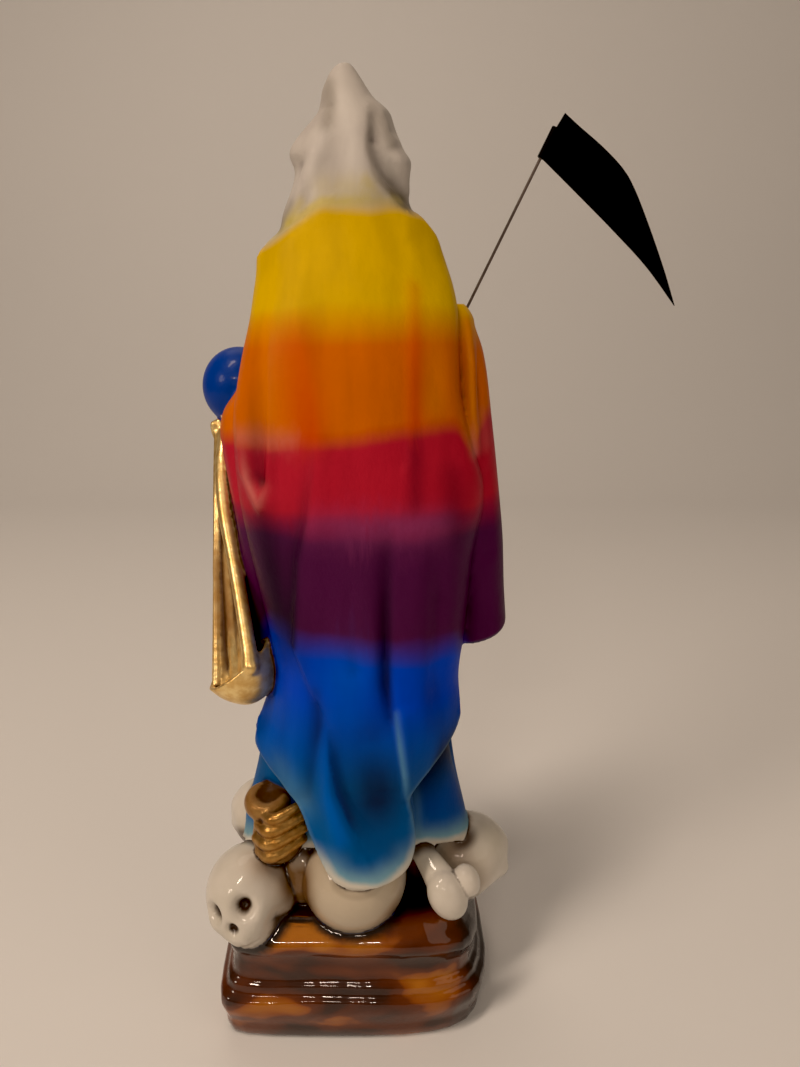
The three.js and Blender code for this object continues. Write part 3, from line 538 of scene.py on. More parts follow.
WEB_SHADE = [(3, 4.5, (34.2, 102, 0), (33.2, 88, 0.8), (31, 74, 0.95))]  # painted shade, brown between the straps


def hung(hanger, share, angle, spread, more, above_rim):
    """Points at a share of the way down a hanger, out from its middle by a share of the straps' reach."""
    top, low, lean = hanger
    reach = mix(STRAPS_TOP, STRAPS_LOW, share) * spread * (1 - TOWARD_BODY * cos(angle)) + more
    across = reach * cos(angle)
    return points(mix(top[0], low[0], share) + across * cos(lean),
                  mix(top[1], low[1], share) + reach * sin(angle),
                  mix(BEAM_HEIGHT, DISH_RIM + above_rim - across * sin(lean), share))


def web(hanger):
    """The solid web between the three straps of a hanger."""
    t, angle = shares(160)[:, None], turns(120)[None, :]
    lobe = np.maximum(0, cos(3 * (angle - radians(STRAP_TURN)))) ** 2
    spread = mix(mix(WEB_TOP, WEB_LOW, t), EDGE_SHARE, lobe)
    return skin(hung(hanger, t, angle, spread, 0.35, -3))


def rib(hanger, turn, near):
    """The round outer edge of a strap. The near one stands out further."""
    share, out, shift = np.array(NEAR_RIB).T
    path = hung(hanger, share, radians(turn), EDGE_SHARE, 0.1 + out * near, -1)
    return bar(path + points(shift * near, 0, 0), NEAR_RIB_RADII if near else RIB_RADII, 20, 60)


def dish(hanger):
    top, low, lean = hanger
    t, angle = shares(24), turns(90)[None, :]
    profile = np.concatenate([curve(DISH_OUTSIDE, t), curve(DISH_INSIDE, t)])
    out, down = DISH_RADIUS * profile[:, :1], DISH_DEEP * profile[:, 1:]
    across = out * cos(angle)
    return skin(points(low[0] + across * cos(lean) - down * sin(lean), low[1] + out * sin(angle),
                       DISH_RIM - down * cos(lean) - across * sin(lean)))


def scales():
    near, far = (np.array([*top, BEAM_HEIGHT + 1]) for top, low, lean in HANGERS)
    middle = mix(near, far, 0.4) + [0, 0, 1.4]
    parts = [bar([near, middle, far], [1.3, 1.5, 1.3])]
    parts.append(bar([near + [0.6, 0, 1], near + [1.9, 0, 0.2], near + [1.5, 0, -2.8]], [0.8, 0.9, 0.8]))
    for hanger in HANGERS:
        parts += [web(hanger), dish(hanger)]
        parts += [rib(hanger, STRAP_TURN + 120 * k, k == 0) for k in range(3)]
    return joined(parts)


OWL, OWL_HEAD = np.array([19, 13, 19]), np.array([21.9, 12.4, 29])
OWL_DISH = (-0.05, 0.3, 0.95)  # the way the hollow in its head faces
OWL_FEATHERS = [  # left and right end of each roll, across and up from the middle, and its thickness
    ((3.4, 9.4), (-6.2, 11.8), 1.5), ((4.6, 6), (-6.6, 8.8), 1.8), ((5.2, 2.2), (-6.8, 5.4), 1.9),
    ((4.6, -1.6), (-6.2, 2), 1.9),
]


def owl_head_relief(way):
    return 1 - 0.55 * bump(away_from(way, OWL_DISH) / 0.8, 2.5)


def owl():
    """An owl seen from behind: a hollow head and feathers in slanted rolls across its back."""
    parts = [ball(OWL + [0.2, 0, 1.4], (6.6, 6, 8.4), (6, -8, 0), 60, 40)]
    parts.append(ball(OWL_HEAD, (5.8, 5.6, 4.9), (0, 0, 0), 90, 70, owl_head_relief))
    for (left, low), (right, high), thick in OWL_FEATHERS:
        start, end = OWL + [left, 3.4, low], OWL + [right, 3.4, high]
        middle = mix(start, end, 0.35) + [0, 3.2, -0.3]
        parts.append(bar([start, middle, end], [thick * 0.8, thick, thick * 0.8], 20, 30, flat=0.9))
    return joined(parts)


SKULLS = [  # middle, half width and turn
    ((26.4, 14, 3.3), 12.3, (-19, -27, 155.7)),
    ((-30, 0, 3.4), 11.8, (-4, 0, -62)),
    ((24.5, -4, 13.5), 10.6, (-4, 6, 52)),
    ((11.5, -17.5, 4.5), 11.4, (-6, 0, 14)),
    ((-8.5, -18.5, 4), 11.2, (-4, -8, -14)),
]


def bones():
    parts = [skull(*each) for each in SKULLS]
    parts.append(ball((0, 13, 7.4), (13.7, 14, 13.2), around=80, count=60))
    parts.append(bar([(-15.6, 9.5, 15.6), (-19.4, 14.5, 12.8), (-23, 19, 9.4)], [2.7, 3.3, 4.2]))
    parts.append(ball((-24, 20.6, 7.4), (4.9, 4.8, 6.8), (0, 24, 0)))
    parts.append(ball((-29, 18.6, 10.2), (3.3, 3.7, 4.3), (0, 24, 0)))
    parts.append(ball((12.8, 11, 7.4), (6.4, 7, 9.6)))  # between the centre one and its neighbour
    return joined(parts)


def face():
    return skull((0, -5.4, 177.4), 7.4)


# The casting: all groups as one skin, then the paint's masks on it

VOXEL, SMOOTH_PASSES, MOST_TRIANGLES = 0.5, 2, 190000
SHADE_PASSES = (("crease", 12), ("hollow", 90))  # how widely each shade looks round for its depth


def mesh_of(name, vertices, faces):
    mesh = bpy.data.meshes.new(name)
    mesh.from_pydata(vertices.tolist(), [], faces.tolist())
    return mesh


def placed(name, mesh):
    piece = bpy.data.objects.new(name, mesh)
    scene.collection.objects.link(piece)
    return piece


def applied(mesh, kind, **settings):
    """A copy of a mesh with one modifier applied."""
    holder = placed("holder", mesh)
    modifier = holder.modifiers.new(kind, kind)
    for name, value in settings.items():
        setattr(modifier, name, value)
    evaluated = holder.evaluated_get(bpy.context.evaluated_depsgraph_get())
    made = bpy.data.meshes.new_from_object(evaluated)
    bpy.data.objects.remove(holder)
    bpy.data.meshes.remove(mesh)
    return made


def combined(mesh, tool, operation):
    """A mesh with another closed mesh added to it or taken from it."""
    holder = placed("tool", tool)
    made = applied(mesh, "BOOLEAN", object=holder, operation=operation, solver="EXACT")
    bpy.data.objects.remove(holder)
    bpy.data.meshes.remove(tool)
    return made


def read(items, name, wide=3, kind=np.float32):
    """A property of all vertices or all edges, as rows."""
    values = np.empty(len(items) * wide, kind)
    items.foreach_get(name, values)
    return values.reshape(-1, wide)


def one_shell(mesh):
    """A mesh without the crumbs that remeshing leaves beside its main shell."""
    form = bmesh.new()
    form.from_mesh(mesh)
    reached = set()
    waiting = [max(form.verts, key=lambda vertex: vertex.co.z)]
    while waiting:
        vertex = waiting.pop()
        if vertex not in reached:
            reached.add(vertex)
            waiting += [edge.other_vert(vertex) for edge in vertex.link_edges]
    crumbs = [vertex for vertex in form.verts if vertex not in reached]
    bmesh.ops.delete(form, geom=crumbs, context="VERTS")
    form.to_mesh(mesh)
    form.free()
    return mesh


def casting_mesh(groups):
    mesh = mesh_of("figure_cast", *joined(list(groups.values())))
    mesh = applied(mesh, "REMESH", mode="VOXEL", voxel_size=VOXEL, adaptivity=0)
    mesh = applied(mesh, "SMOOTH", factor=0.5, iterations=SMOOTH_PASSES)
    mesh.calc_loop_triangles()
    ratio = MOST_TRIANGLES / len(mesh.loop_triangles)
    return one_shell(applied(mesh, "DECIMATE", ratio=min(1, ratio)))


def relaxed(values, edges, passes):
    """Values at the vertices, each pass averaged with the neighbours'."""
    count = np.bincount(edges.ravel(), minlength=len(values)).astype(float)
    a, b = edges.T
    columns = values.reshape(len(values), -1)
    for _ in range(passes):
        total = np.stack([
            np.bincount(a, weights=column[b], minlength=len(values))
            + np.bincount(b, weights=column[a], minlength=len(values))
            for column in columns.T
        ], 1)
        columns = mix(columns, total / count[:, None], 0.5)
    return columns.reshape(values.shape)


def mask(mesh, name, values):
    layer = mesh.attributes.new(name, "FLOAT", "POINT")
    layer.data.foreach_set("value", np.asarray(values, np.float32))


def nearest(tree, place):
    return np.array([tree.find_nearest(p)[3] for p in place])


def paint_masks(mesh, groups):
    """Distances in units: each group's mask is above 0 where that group is the nearest one."""
    place = read(mesh.vertices, "co").astype(float)
    away = {}
    for name, (vertices, faces) in groups.items():
        tree = BVHTree.FromPolygons(vertices.tolist(), faces.tolist())
        away[name] = nearest(tree, place.tolist())
    for name in groups:
        others = np.min([away[other] for other in groups if other != name], axis=0)
        mask(mesh, name, np.clip(others - away[name], -5, 5))
    edges = read(mesh.edges, "vertices", 2, np.int32)
    normals = read(mesh.vertices, "normal")
    for name, passes in SHADE_PASSES:
        depth = ((relaxed(place, edges, passes) - place) * normals).sum(1)
        mask(mesh, name, relaxed(depth, edges, 2))
    mask(mesh, "tone", tone_of(place))
    behind = smooth(-3, 2, place[:, 1])
    for name, (colour, strokes) in STROKES.items():
        own = smooth(*ROBE_DEEP, place[:, 1]) if name in ON_THE_ROBE else 1
        mask(mesh, name, np.minimum(1, folds_at(strokes, place[:, 0], place[:, 2])) * behind * own)
    mask(mesh, "web", folds_at(WEB_SHADE, place[:, 0], place[:, 2]))
    mask(mesh, "wash", sum(bump(np.linalg.norm(place - at, axis=1) / wide) for at, wide in WASH_AND_SHADE_SPOTS))
    lines = hem_lines()
    for name, near in (("hem", lines), ("tongue", lines[:1])):
        stretches = [(a, b, b) for line in near for a, b in zip(line, line[1:])]
        corners = [tuple(p) for stretch in stretches for p in stretch]
        tree = BVHTree.FromPolygons(corners, [(k, k + 1, k + 2) for k in range(0, len(corners), 3)])
        mask(mesh, name, np.minimum(nearest(tree, place.tolist()), 20))


def hem_lines():
    """The lower edges of the cloak, the robe and the sleeves, in that order."""
    lines = [cloak_hem(np.linspace(0.01, 0.49, 400)[None, :], 1.0)[0]]
    lines.append(robe()[0][:ROBE_COLUMNS])
    lines += [sleeve(**each)[0][:SLEEVE_COLUMNS] for each in SLEEVES.values()]
    return lines


def casting():
    groups = {
        "plinth": joined([plinth(), under_robe()]),
        "cloth": joined([robe(), cloak(), *(sleeve(**each) for each in SLEEVES.values()), right_upper_arm()]),
        "bone": joined([bones(), face(), right_hand(), left_hand()]),
        "gold": joined([scales(), owl()]),
        "globe": globe(),
    }
    mesh = casting_mesh(groups)
    paint_masks(mesh, groups)
    mesh.transform(Matrix.Translation((0, 0, PLINTH_TOP)) @ Matrix.Scale(UNIT, 4))
    bore = rod(*wire_ends(), WIRE_RADIUS + FIT_GAP, 24)
    mesh = combined(mesh, mesh_of("bore", *bore), "DIFFERENCE")
    return finished("figure_cast", mesh, cast_paint(), "figure", 180)


# Paint. Each shader is built from short calls that add a node and give back its output.


class Shader:
    def __init__(self, name):
        self.material = bpy.data.materials.new(name)
        self.material.use_nodes = True
        self.tree = self.material.node_tree
        self.tree.nodes.clear()
        self.surface = self.tree.nodes.new("ShaderNodeBsdfPrincipled")
        output = self.tree.nodes.new("ShaderNodeOutputMaterial")
        self.tree.links.new(self.surface.outputs[0], output.inputs[0])
        place = self.vector("SUBTRACT", self.node("TexCoord", {}, "Object"), (0, 0, PLINTH_TOP))
        self.place = self.vector("MULTIPLY", place, [1 / UNIT] * 3)
        self.across, self.height = (self.node("SeparateXYZ", {0: self.place}, axis) for axis in "XZ")

    def put(self, socket, value):
        if isinstance(value, bpy.types.NodeSocket):
            self.tree.links.new(value, socket)
        elif hasattr(socket.default_value, "__len__"):
            count = len(socket.default_value)
            socket.default_value = (list(value) + [1])[:count]
        else:
            socket.default_value = value

    def set(self, **values):
        for name, value in values.items():
            self.put(self.surface.inputs[name.replace("_", " ")], value)

    def node(self, kind, values, out=0, **settings):
        """A new node with its settings and input values, and one of its outputs."""
        node = self.tree.nodes.new("ShaderNode" + kind)
        for name, value in settings.items():
            setattr(node, name, value)
        for name, value in values.items():
            self.put(node.inputs[name], value)
        return node.outputs[out]

    def vector(self, operation, a, b):
        return self.node("VectorMath", {0: a, 1: b}, operation=operation)

    def math(self, operation, a, b=0.0):
        return self.node("Math", {0: a, 1: b}, operation=operation)

    def add(self, a, b):
        return self.math("ADD", a, b)

    def times(self, a, b):
        return self.math("MULTIPLY", a, b)

    def varied(self, value, noise, much):
        """A value with noise added, half of much either way."""
        return self.add(value, self.times(self.add(noise, -0.5), much))

    def step(self, value, low, high, top=1.0):
        """0 below low, top above high and smooth between them; high below low turns it round."""
        start, end = (top, 0) if high < low else (0, top)
        values = {"Value": value, "From Min": min(low, high), "From Max": max(low, high),
                  "To Min": start, "To Max": end}
        return self.node("MapRange", values, "Result", interpolation_type="SMOOTHSTEP")

    def mixed(self, factor, a, b, blend="MIX"):
        return self.node("Mix", {"Factor": factor, 6: a, 7: b}, 2, data_type="RGBA", blend_type=blend)

    def blend(self, factor, a, b):
        return self.node("Mix", {"Factor": factor, 2: a, 3: b})

    def layered(self, colour, *layers):
        """A colour with others laid over it, each with its factor and where needed its kind of blend."""
        for factor, over, *kind in layers:
            colour = self.mixed(factor, colour, over, *kind)
        return colour

    def ramp(self, value, stops):
        node = self.tree.nodes.new("ShaderNodeValToRGB")
        elements = node.color_ramp.elements
        while len(elements) < len(stops):
            elements.new(0.5)
        for element, (at, colour) in zip(elements, sorted(stops)):
            element.position = at
            element.color = (*colour, 1)
        self.put(node.inputs[0], value)
        return node.outputs[0]

    def noise(self, size, detail=3, rough=0.5, stretch=(1, 1, 1), seed=0.0, warp=0.0):
        """Noise from 0 to 1 whose lumps are about size units across."""
        scaled = self.vector("MULTIPLY", self.place, [1 / (size * s) for s in stretch])
        moved = self.vector("ADD", scaled, [seed, seed * 1.7, seed * 0.6])
        values = {"Vector": moved, "Scale": 1.0, "Detail": detail, "Roughness": rough, "Distortion": warp}
        return self.node("TexNoise", values, "Fac")

    def mask(self, name):
        return self.node("Attribute", {}, "Fac", attribute_name=name)

    def bumped(self, height, distance):
        return self.node("Bump", {"Height": height, "Distance": distance, "Strength": 1})


# The cloth's colours from the hood down, and where each gives way to the next: a height against x
PEARL, YELLOW, ORANGE, CRIMSON = (0.54, 0.5, 0.46), (0.7, 0.44, 0), (0.64, 0.14, 0), (0.47, 0.013, 0.035)
PURPLE, BLUE, LOW_BLUE = (0.08, 0.01, 0.062), (0, 0.056, 0.58), (0, 0.098, 0.33)
CLOTH_COLOURS = [PEARL, YELLOW, ORANGE, CRIMSON, PURPLE, BLUE, LOW_BLUE]
BOUNDARIES = [
    [(-30, 168), (-14.4, 170.1), (-12, 171.1), (0, 170.6), (4.3, 170.8), (9.8, 167.6), (16.4, 163.4),
     (26, 161)],
    [(-30, 146.5), (0, 147.3), (25, 146.5)],
    [(-38, 128), (-33, 126.5), (-29, 119.5), (-27, 121), (-24.6, 124.6), (-18.5, 124.9), (-1.3, 122.9),
     (16.2, 121.4), (30, 120)],
    [(-35, 104.5), (30, 104)],
    [(-38, 58), (-31, 63), (-27.5, 69), (-25, 72), (-17.6, 71.5), (-5.1, 72.7), (4.1, 75.2), (11.1, 76.4),
     (15.2, 78.1), (19, 78), (23, 70), (27, 66.5)],
    [(-30, 50), (30, 50)],
]
BLENDS = [0.08, 0.2, 0.1, 0.14, 0.14, 0.45]  # half of each, as a share of the way to the next boundary
ABOVE, BELOW = 20, 25  # how far the first colour reaches up and the last one down
# Airbrushed strokes on the back, among them painted shade and painted highlights: a colour, and folds with a
# strength in place of a height
STROKES = {
    "rust": ((0.55, 0.035, 0.0), [
        (3.6, 4, (9.4, 145, 0.35), (8.6, 136, 0.45), (7.4, 124, 0.7)),
        (1.5, 2.2, (-15.2, 154, 0.3), (-15.5, 140, 0.5), (-15.5, 126, 0.6)),
    ]),
    "amber": ((0.75, 0.24, 0.01), [
        (3, 2.6, (-20, 143, 0.3), (-19.6, 130, 0.5)),
        (2.4, 2, (16.8, 147, 0.3), (16.6, 128, 0.3)),
        # painted highlight along the sleeve's rolled edge
        (1.1, 1.3, (-27.6, 147, 0.7), (-27.9, 134.4, 0.9), (-28.6, 125.3, 0.9), (-29.3, 119, 0.5)),
    ]),
    # Pinkish painted highlights, mostly on the rolled edges and the lip of the pocket
    "pink": ((0.6, 0.16, 0.14), [
        (0.9, 0.9, (-28.6, 125, 0.1), (-29.5, 117.5, 0.8)),
        (2.4, 1.8, (24, 122, 0.5), (12, 122, 0.4)),
        (1, 1.2, (23.6, 119, 0.2), (22.8, 113, 0.8), (20, 107.4, 0.7), (18, 112, 0.2)),
        (1.6, 2, (-32, 127, 0.3), (-33, 119, 0.3)),
    ]),
    "violet": ((0.26, 0.04, 0.14), [
        (3.4, 4.5, (6, 104.5, 0.5), (-6, 103.5, 0.75), (-22, 103.5, 0.8)),
    ]),
    # Painted shade in the folds, the groove and beside the panel's edge, partly the figure's own airbrushed
    # dark
    "dark": ((0.006, 0.002, 0.012), [
        (4.6, 4, (19, 104, 0.5), (17.8, 95, 0.75), (16.2, 81, 0.8), (14.5, 72, 0.4)),  # left of the panel
        (0.8, 2, (6.8, 120, 0.1), (8.9, 105, 0.4), (11.1, 95.8, 0.5), (12.6, 75, 0.4)),
        (1.3, 2, (7.4, 64, 0.3), (7.3, 55, 0.55), (8.6, 47, 0.4), (10.4, 36, 0.3)),
        (2, 0.5, (4.9, 53, 0.2), (4.6, 46, 0.6), (3.2, 38, 0.75), (0.4, 31, 0.6), (-1.2, 28, 0.2)),
        (1.2, 2.6, (-9.3, 101, 0.2), (-9.2, 83, 0.6), (-9, 66, 0.85), (-9.9, 56, 0.3)),  # the groove
        (1.8, 2, (-15.5, 122, 0.4), (-15.5, 108, 0.4)),
        (3, 3, (-24, 114, 0.3), (-25, 100, 0.4)),
        (8, 6.6, (-4.6, 50, 0.2), (-5.8, 42, 0.7), (-6.4, 35, 0.85), (-7, 27, 0.4)),
        (4, 3, (-4, 62, 0.1), (-4.4, 54, 0.2)),
        (3, 3, (-19, 62, 0.2), (-20, 54, 0.2)),
        (2.2, 2.2, (20.4, 134, 0.05), (20.2, 124, 0.3), (20, 114, 0.5)),
    ]),
    "navy": ((0.0, 0.055, 0.34), [(9, 9, (-15, 27, 0.7), (-30, 27, 0.7))]),
    "under": ((0.002, 0.004, 0.02), [  # painted shadow under the flap and along the robe's side
        (8, 8, (-15, 35, 0.9), (-25.6, 42, 0.97)),
        (2, 2.2, (-27.6, 44, 0.9), (-30.4, 24, 0.7)),
    ]),
    "azure": ((0.0, 0.14, 0.75), [
        (6, 6, (0.5, 67, 0.4), (0.8, 60, 0.3)),
        (2.2, 2.2, (6.5, 48, 0.2), (5, 36, 0.45), (2, 27, 0.3)),
    ]),
    # Painted highlights on ridges and edges of the blue cloth, and on its left panel
    "mist": ((0.09, 0.25, 0.42), [
        (3.6, 2.6, (17.4, 42, 0.3), (12.6, 34, 0.55)),
        (1.1, 0.6, (-11, 58, 0.3), (-11.9, 50, 0.7), (-13, 42, 0.7), (-13.7, 36, 0.3)),
        (0.7, 0.7, (-14.8, 30, 0.2), (-15.4, 20, 0.3)),
        (1.3, 0.8, (-15.6, 34, 0.1), (-16.4, 26, 0.4), (-16.8, 19, 0.5)),
    ]),
    # Painted highlights on the hood's raised lobes and ridge
    "milk": ((0.72, 0.68, 0.63), [
        (2.2, 2, (4.6, 184, 0.3), (6.2, 178, 0.7), (5.4, 174, 0.4)),
        (2, 2, (-0.4, 192, 0.4), (-1.8, 184, 0.4), (-2.2, 176, 0.3)),
        (1.4, 1.6, (-9.6, 180, 0.4), (-11.4, 176.4, 0.5)),
    ]),
    # Painted shade in the hood's grooves and above the collar
    "smoke": ((0.16, 0.135, 0.1), [
        (1.6, 1.8, (2.8, 195, 0.4), (2.9, 187, 0.5)),
        (2, 0.6, (-5.6, 190, 0.3), (-5.3, 181.5, 0.45), (-7, 176, 0.4), (-12.8, 170.6, 0.8)),
        (2, 2, (-10, 176, 0.3), (-11.6, 172.6, 0.6)),
        (1.2, 1.2, (-8.2, 188, 0.3), (-10.4, 183, 0.4)),
        (1.2, 1.4, (11.4, 171.4, 0.4), (14, 166.4, 0.7)),
        (1.6, 1.6, (2.2, 184, 0.15), (5, 177, 0.1)),
    ]),
    "cream": ((0.56, 0.46, 0.13), [
        (1, 1.1, (8.8, 171.6, 0.5), (12, 167.8, 0.6)),
        (1.2, 1.2, (16.4, 164, 0.4), (9.8, 168.2, 0.7), (4.3, 171.4, 0.8), (0, 171.4, 0.8),
         (-12, 171.8, 0.3)),
        (2.2, 2.4, (4, 174.6, 0.3), (-5, 174.2, 0.4)),
        (1, 1, (-5, 175.6, 0.3), (-7.6, 173, 0.2)),
    ]),
}
ON_THE_ROBE, ROBE_DEEP = ("navy", "under"), (18, 15)  # these strokes end between these y, on the robe
# Brown airbrushed between the bones and into the owl's head, partly painted shade where the bones meet and
# under the robe's hem: middle and reach
WASH_AND_SHADE_SPOTS = [((15, 17, 8), 6), ((12.6, 18, 9), 5), ((22, 18, 15), 4), ((12.5, 22, 3), 4), ((-30, 13, 3), 6),
          ((21.9, 12.5, 31), 6.5), ((-25, 9, 12), 5), ((-33, 9, 18), 1.6), ((-11, 22, 3), 4)]
PLINTH_BROWNS = [(0.3, (0.015, 0.005, 0.003)), (0.42, (0.04, 0.01, 0.003)), (0.46, (0.075, 0.015, 0.002)),
                 (0.55, (0.12, 0.025, 0.002)), (0.58, (0.24, 0.06, 0.003)), (0.7, (0.38, 0.13, 0.008))]
GLOBE_BLUE = (0, 0.04, 0.3)


def tone_of(place):
    """Place among the boundaries: k on the k-th one, and in proportion between two of them."""
    x, z = place[:, 0], place[:, 2]
    lines = [along(line, x) for line in BOUNDARIES]
    lines = [lines[0] + ABOVE] + lines + [lines[-1] - BELOW]
    return -1 + sum(np.clip((high - z) / (high - low), 0, 1) for high, low in zip(lines, lines[1:]))


def cloth_ramp(paint, tone):
    stops = []
    for k, (blend, high, low) in enumerate(zip(BLENDS, CLOTH_COLOURS, CLOTH_COLOURS[1:])):
        stops += [(k - blend, high), (k + blend, low)]
    span = len(BLENDS) + 1
    place = paint.math("DIVIDE", paint.add(tone, 1), span)
    return paint.ramp(place, [((at + 1) / span, colour) for at, colour in stops])


def cloth_colour(paint, crease, hollow, broad):
    streaks = paint.noise(6, 3, stretch=(1, 1, 5), seed=7)
    hem, low = paint.mask("hem"), paint.step(paint.height, 27, 15)
    uneven = paint.varied(hem, broad, 5)
    pale = paint.add(paint.times(paint.step(uneven, 8.5, 1.5), low), paint.step(hem, 1.4, 0.2, 0.2))
    return paint.layered(
        cloth_ramp(paint, paint.varied(paint.mask("tone"), broad, 0.12)),
        # Darker in creases and hollows: painted shade, partly the figure's own airbrushed dark in its folds
        (paint.step(crease, 0.03, 0.35, 0.6), (0.3, 0.25, 0.3), "MULTIPLY"),
        (paint.step(hollow, 0.2, 1.6, 0.6), (0.3, 0.3, 0.4), "MULTIPLY"),
        *((paint.mask(name), colour) for name, (colour, strokes) in STROKES.items()),
        (paint.step(streaks, 0.35, 0.7, 0.2), (0.35, 0.3, 0.35), "MULTIPLY"),
        (pale, (0.2, 0.38, 0.46)),
        (paint.times(paint.step(uneven, 3, 0.8), low), (0.62, 0.58, 0.5)),
    )


def bone_colour(paint, crease, hollow, broad):
    sides = paint.step(paint.math("ABSOLUTE", paint.across), 15, 11)
    # Brown wash between the bones and in their hollows, partly painted shade
    wash = paint.add(paint.times(paint.mask("wash"), 0.7), paint.step(hollow, 0.1, 1.2, 0.7))
    # Painted shadow on the bones just below the robe's hem
    shadow_by_hem = paint.times(paint.step(paint.mask("hem"), 3.6, 1), paint.step(paint.mask("tongue"), 1, 4))
    return paint.layered(
        (0.66, 0.61, 0.54),
        (paint.step(broad, 0.3, 0.7), (0.56, 0.52, 0.44)),
        (paint.times(sides, paint.step(paint.height, 30, 24)), (0.52, 0.44, 0.33)),
        (wash, (0.3, 0.17, 0.07), "MULTIPLY"),
        (paint.times(shadow_by_hem, 0.9), (0.06, 0.026, 0.009)),
        # Near black in the creases, the eye sockets among them: painted shade
        (paint.step(crease, 0.02, 0.2), (0.03, 0.011, 0.003)),
    )


def gold_colour(paint, crease, hollow, fine):
    """The gold with bare brown in its hollows, and how dull it is."""
    wash, shade_between_straps = paint.mask("wash"), paint.mask("web")
    deep = paint.add(paint.times(hollow, 0.6), paint.times(wash, 0.35))
    bare = paint.step(paint.add(crease, deep), 0.04, 0.45)
    gold = paint.layered(
        (0.95, 0.72, 0.33),
        (paint.step(fine, 0.3, 0.7), (0.74, 0.47, 0.16)),
        (paint.step(paint.height, 40, 36), (0.55, 0.42, 0.28), "MULTIPLY"),  # the owl is bronze
        # painted shade on the web between the straps
        (shade_between_straps, (0.22, 0.1, 0.03)),
        (paint.times(wash, 0.9), (0.13, 0.065, 0.03)),
        (bare, (0.06, 0.022, 0.005)),
    )
    return gold, paint.add(bare, paint.add(wash, shade_between_straps))


def plinth_colour(paint, crease, hollow, fine):
    dabs = paint.noise(14, 2, 0.4, stretch=(1.5, 1.5, 0.6), seed=5, warp=0.3)
    dark_ends = paint.step(paint.math("ABSOLUTE", paint.across), 22, 33, 0.12)
    # Painted contact shadow on the plinth round the bones
    shadow_by_bones = paint.varied(paint.mask("bone"), fine, 1.5)
    return paint.layered(
        paint.ramp(paint.add(dabs, paint.times(dark_ends, -1)), PLINTH_BROWNS),
        (paint.step(shadow_by_bones, -3.6, -1), (0.012, 0.005, 0.002)),
        # Darker in creases and hollows: painted shade
        (paint.step(crease, 0.05, 0.4, 0.85), (0.02, 0.006, 0.002)),
        (paint.step(hollow, 0.3, 2, 0.8), (0.02, 0.006, 0.002)),
    )


def cast_paint():
    paint = Shader("cast_paint")
    shade = paint.mask("crease"), paint.mask("hollow")
    broad, fine = paint.noise(14, 3), paint.noise(2.2, 4, seed=3)
    gold, dull = gold_colour(paint, *shade, fine)
    colour, metal, rough, coat = cloth_colour(paint, *shade, broad), 0.0, 0.5, 0.0
    for name, own, own_metal, own_rough, own_coat in (
        ("bone", bone_colour(paint, *shade, broad), 0.0, 0.34, 0.6),
        ("globe", GLOBE_BLUE, 0.0, 0.4, 0.1),
        ("plinth", plinth_colour(paint, *shade, fine), 0.0, 0.4, paint.step(paint.height, -0.6, -2.2)),
        ("gold", gold, paint.step(dull, 0.8, 0.2, 0.85), 0.34, 0.0),
    ):
        here = paint.step(paint.varied(paint.mask(name), fine, 0.5), -0.15, 0.15)
        colour = paint.mixed(here, colour, own)
        metal = paint.blend(here, metal, own_metal)
        rough = paint.blend(here, rough, own_rough)
        coat = paint.blend(here, coat, own_coat)
    paint.set(Coat_Weight=coat, Coat_Roughness=0.035, Specular_IOR_Level=0.12)
    paint.set(Base_Color=colour, Metallic=metal, Roughness=paint.varied(rough, fine, 0.12))
    grain = paint.add(fine, paint.times(paint.noise(0.7, 2, seed=9), 0.3))
    paint.set(Normal=paint.bumped(grain, 0.1 * UNIT))
    return paint.material


def blade_paint():
    paint = Shader("blade_paint")
    paint.set(Base_Color=(0.003, 0.003, 0.0035), Roughness=0.5, Specular_IOR_Level=0.05)
    return paint.material


def wire_paint():
    paint = Shader("wire_paint")
    wear = paint.noise(1.2, 4, 0.6, stretch=(1, 1, 3))
    paint.set(Base_Color=paint.mixed(wear, (0.05, 0.035, 0.028), (0.16, 0.12, 0.1)))
    paint.set(Roughness=0.42, Metallic=0.6)
    return paint.material


# The scythe: a straight wire and a sheet blade with a rolled socket, on the wire's own line

WIRE_RADIUS, FIT_GAP, SOCKET_WALL, SOCKET_LENGTH = 0.35, 0.3, 0.6, 7
BLADE_REACH, SHEET, BEVEL = 36, 0.55, 0.1
ROLL_GAP, ROLL_WALL = 0.12, 0.4  # of the finer rolled socket made here
BLADE_BACK = [(0.16, 0.26), (0.26, 0.18), (0.43, 0.05), (0.57, -0.08), (0.66, -0.21), (0.78, -0.45),
              (0.91, -0.74), (1, -0.97)]  # across and up, as shares of the reach
BLADE_HOLLOW = [(0, 0), (0.25, -0.22), (0.54, -0.48), (0.78, -0.71), (1, -0.97)]
# How far across the sheet, and the share of its half thickness there
SHEET_EDGE = [(0, 0.55), (0.02, 0.95), (0.06, 1), (0.94, 1), (0.98, 0.95), (1, 0.55)]


def wire_ends():
    low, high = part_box("scythe_handle")
    inset_x, inset_z = WIRE_RADIUS * UNIT * cos(LEAN), WIRE_RADIUS * UNIT * sin(LEAN)
    middle = (low.y + high.y) / 2
    return (np.array([high.x - inset_x, middle, low.z + inset_z]),
            np.array([low.x + inset_x, middle, high.z - inset_z]))


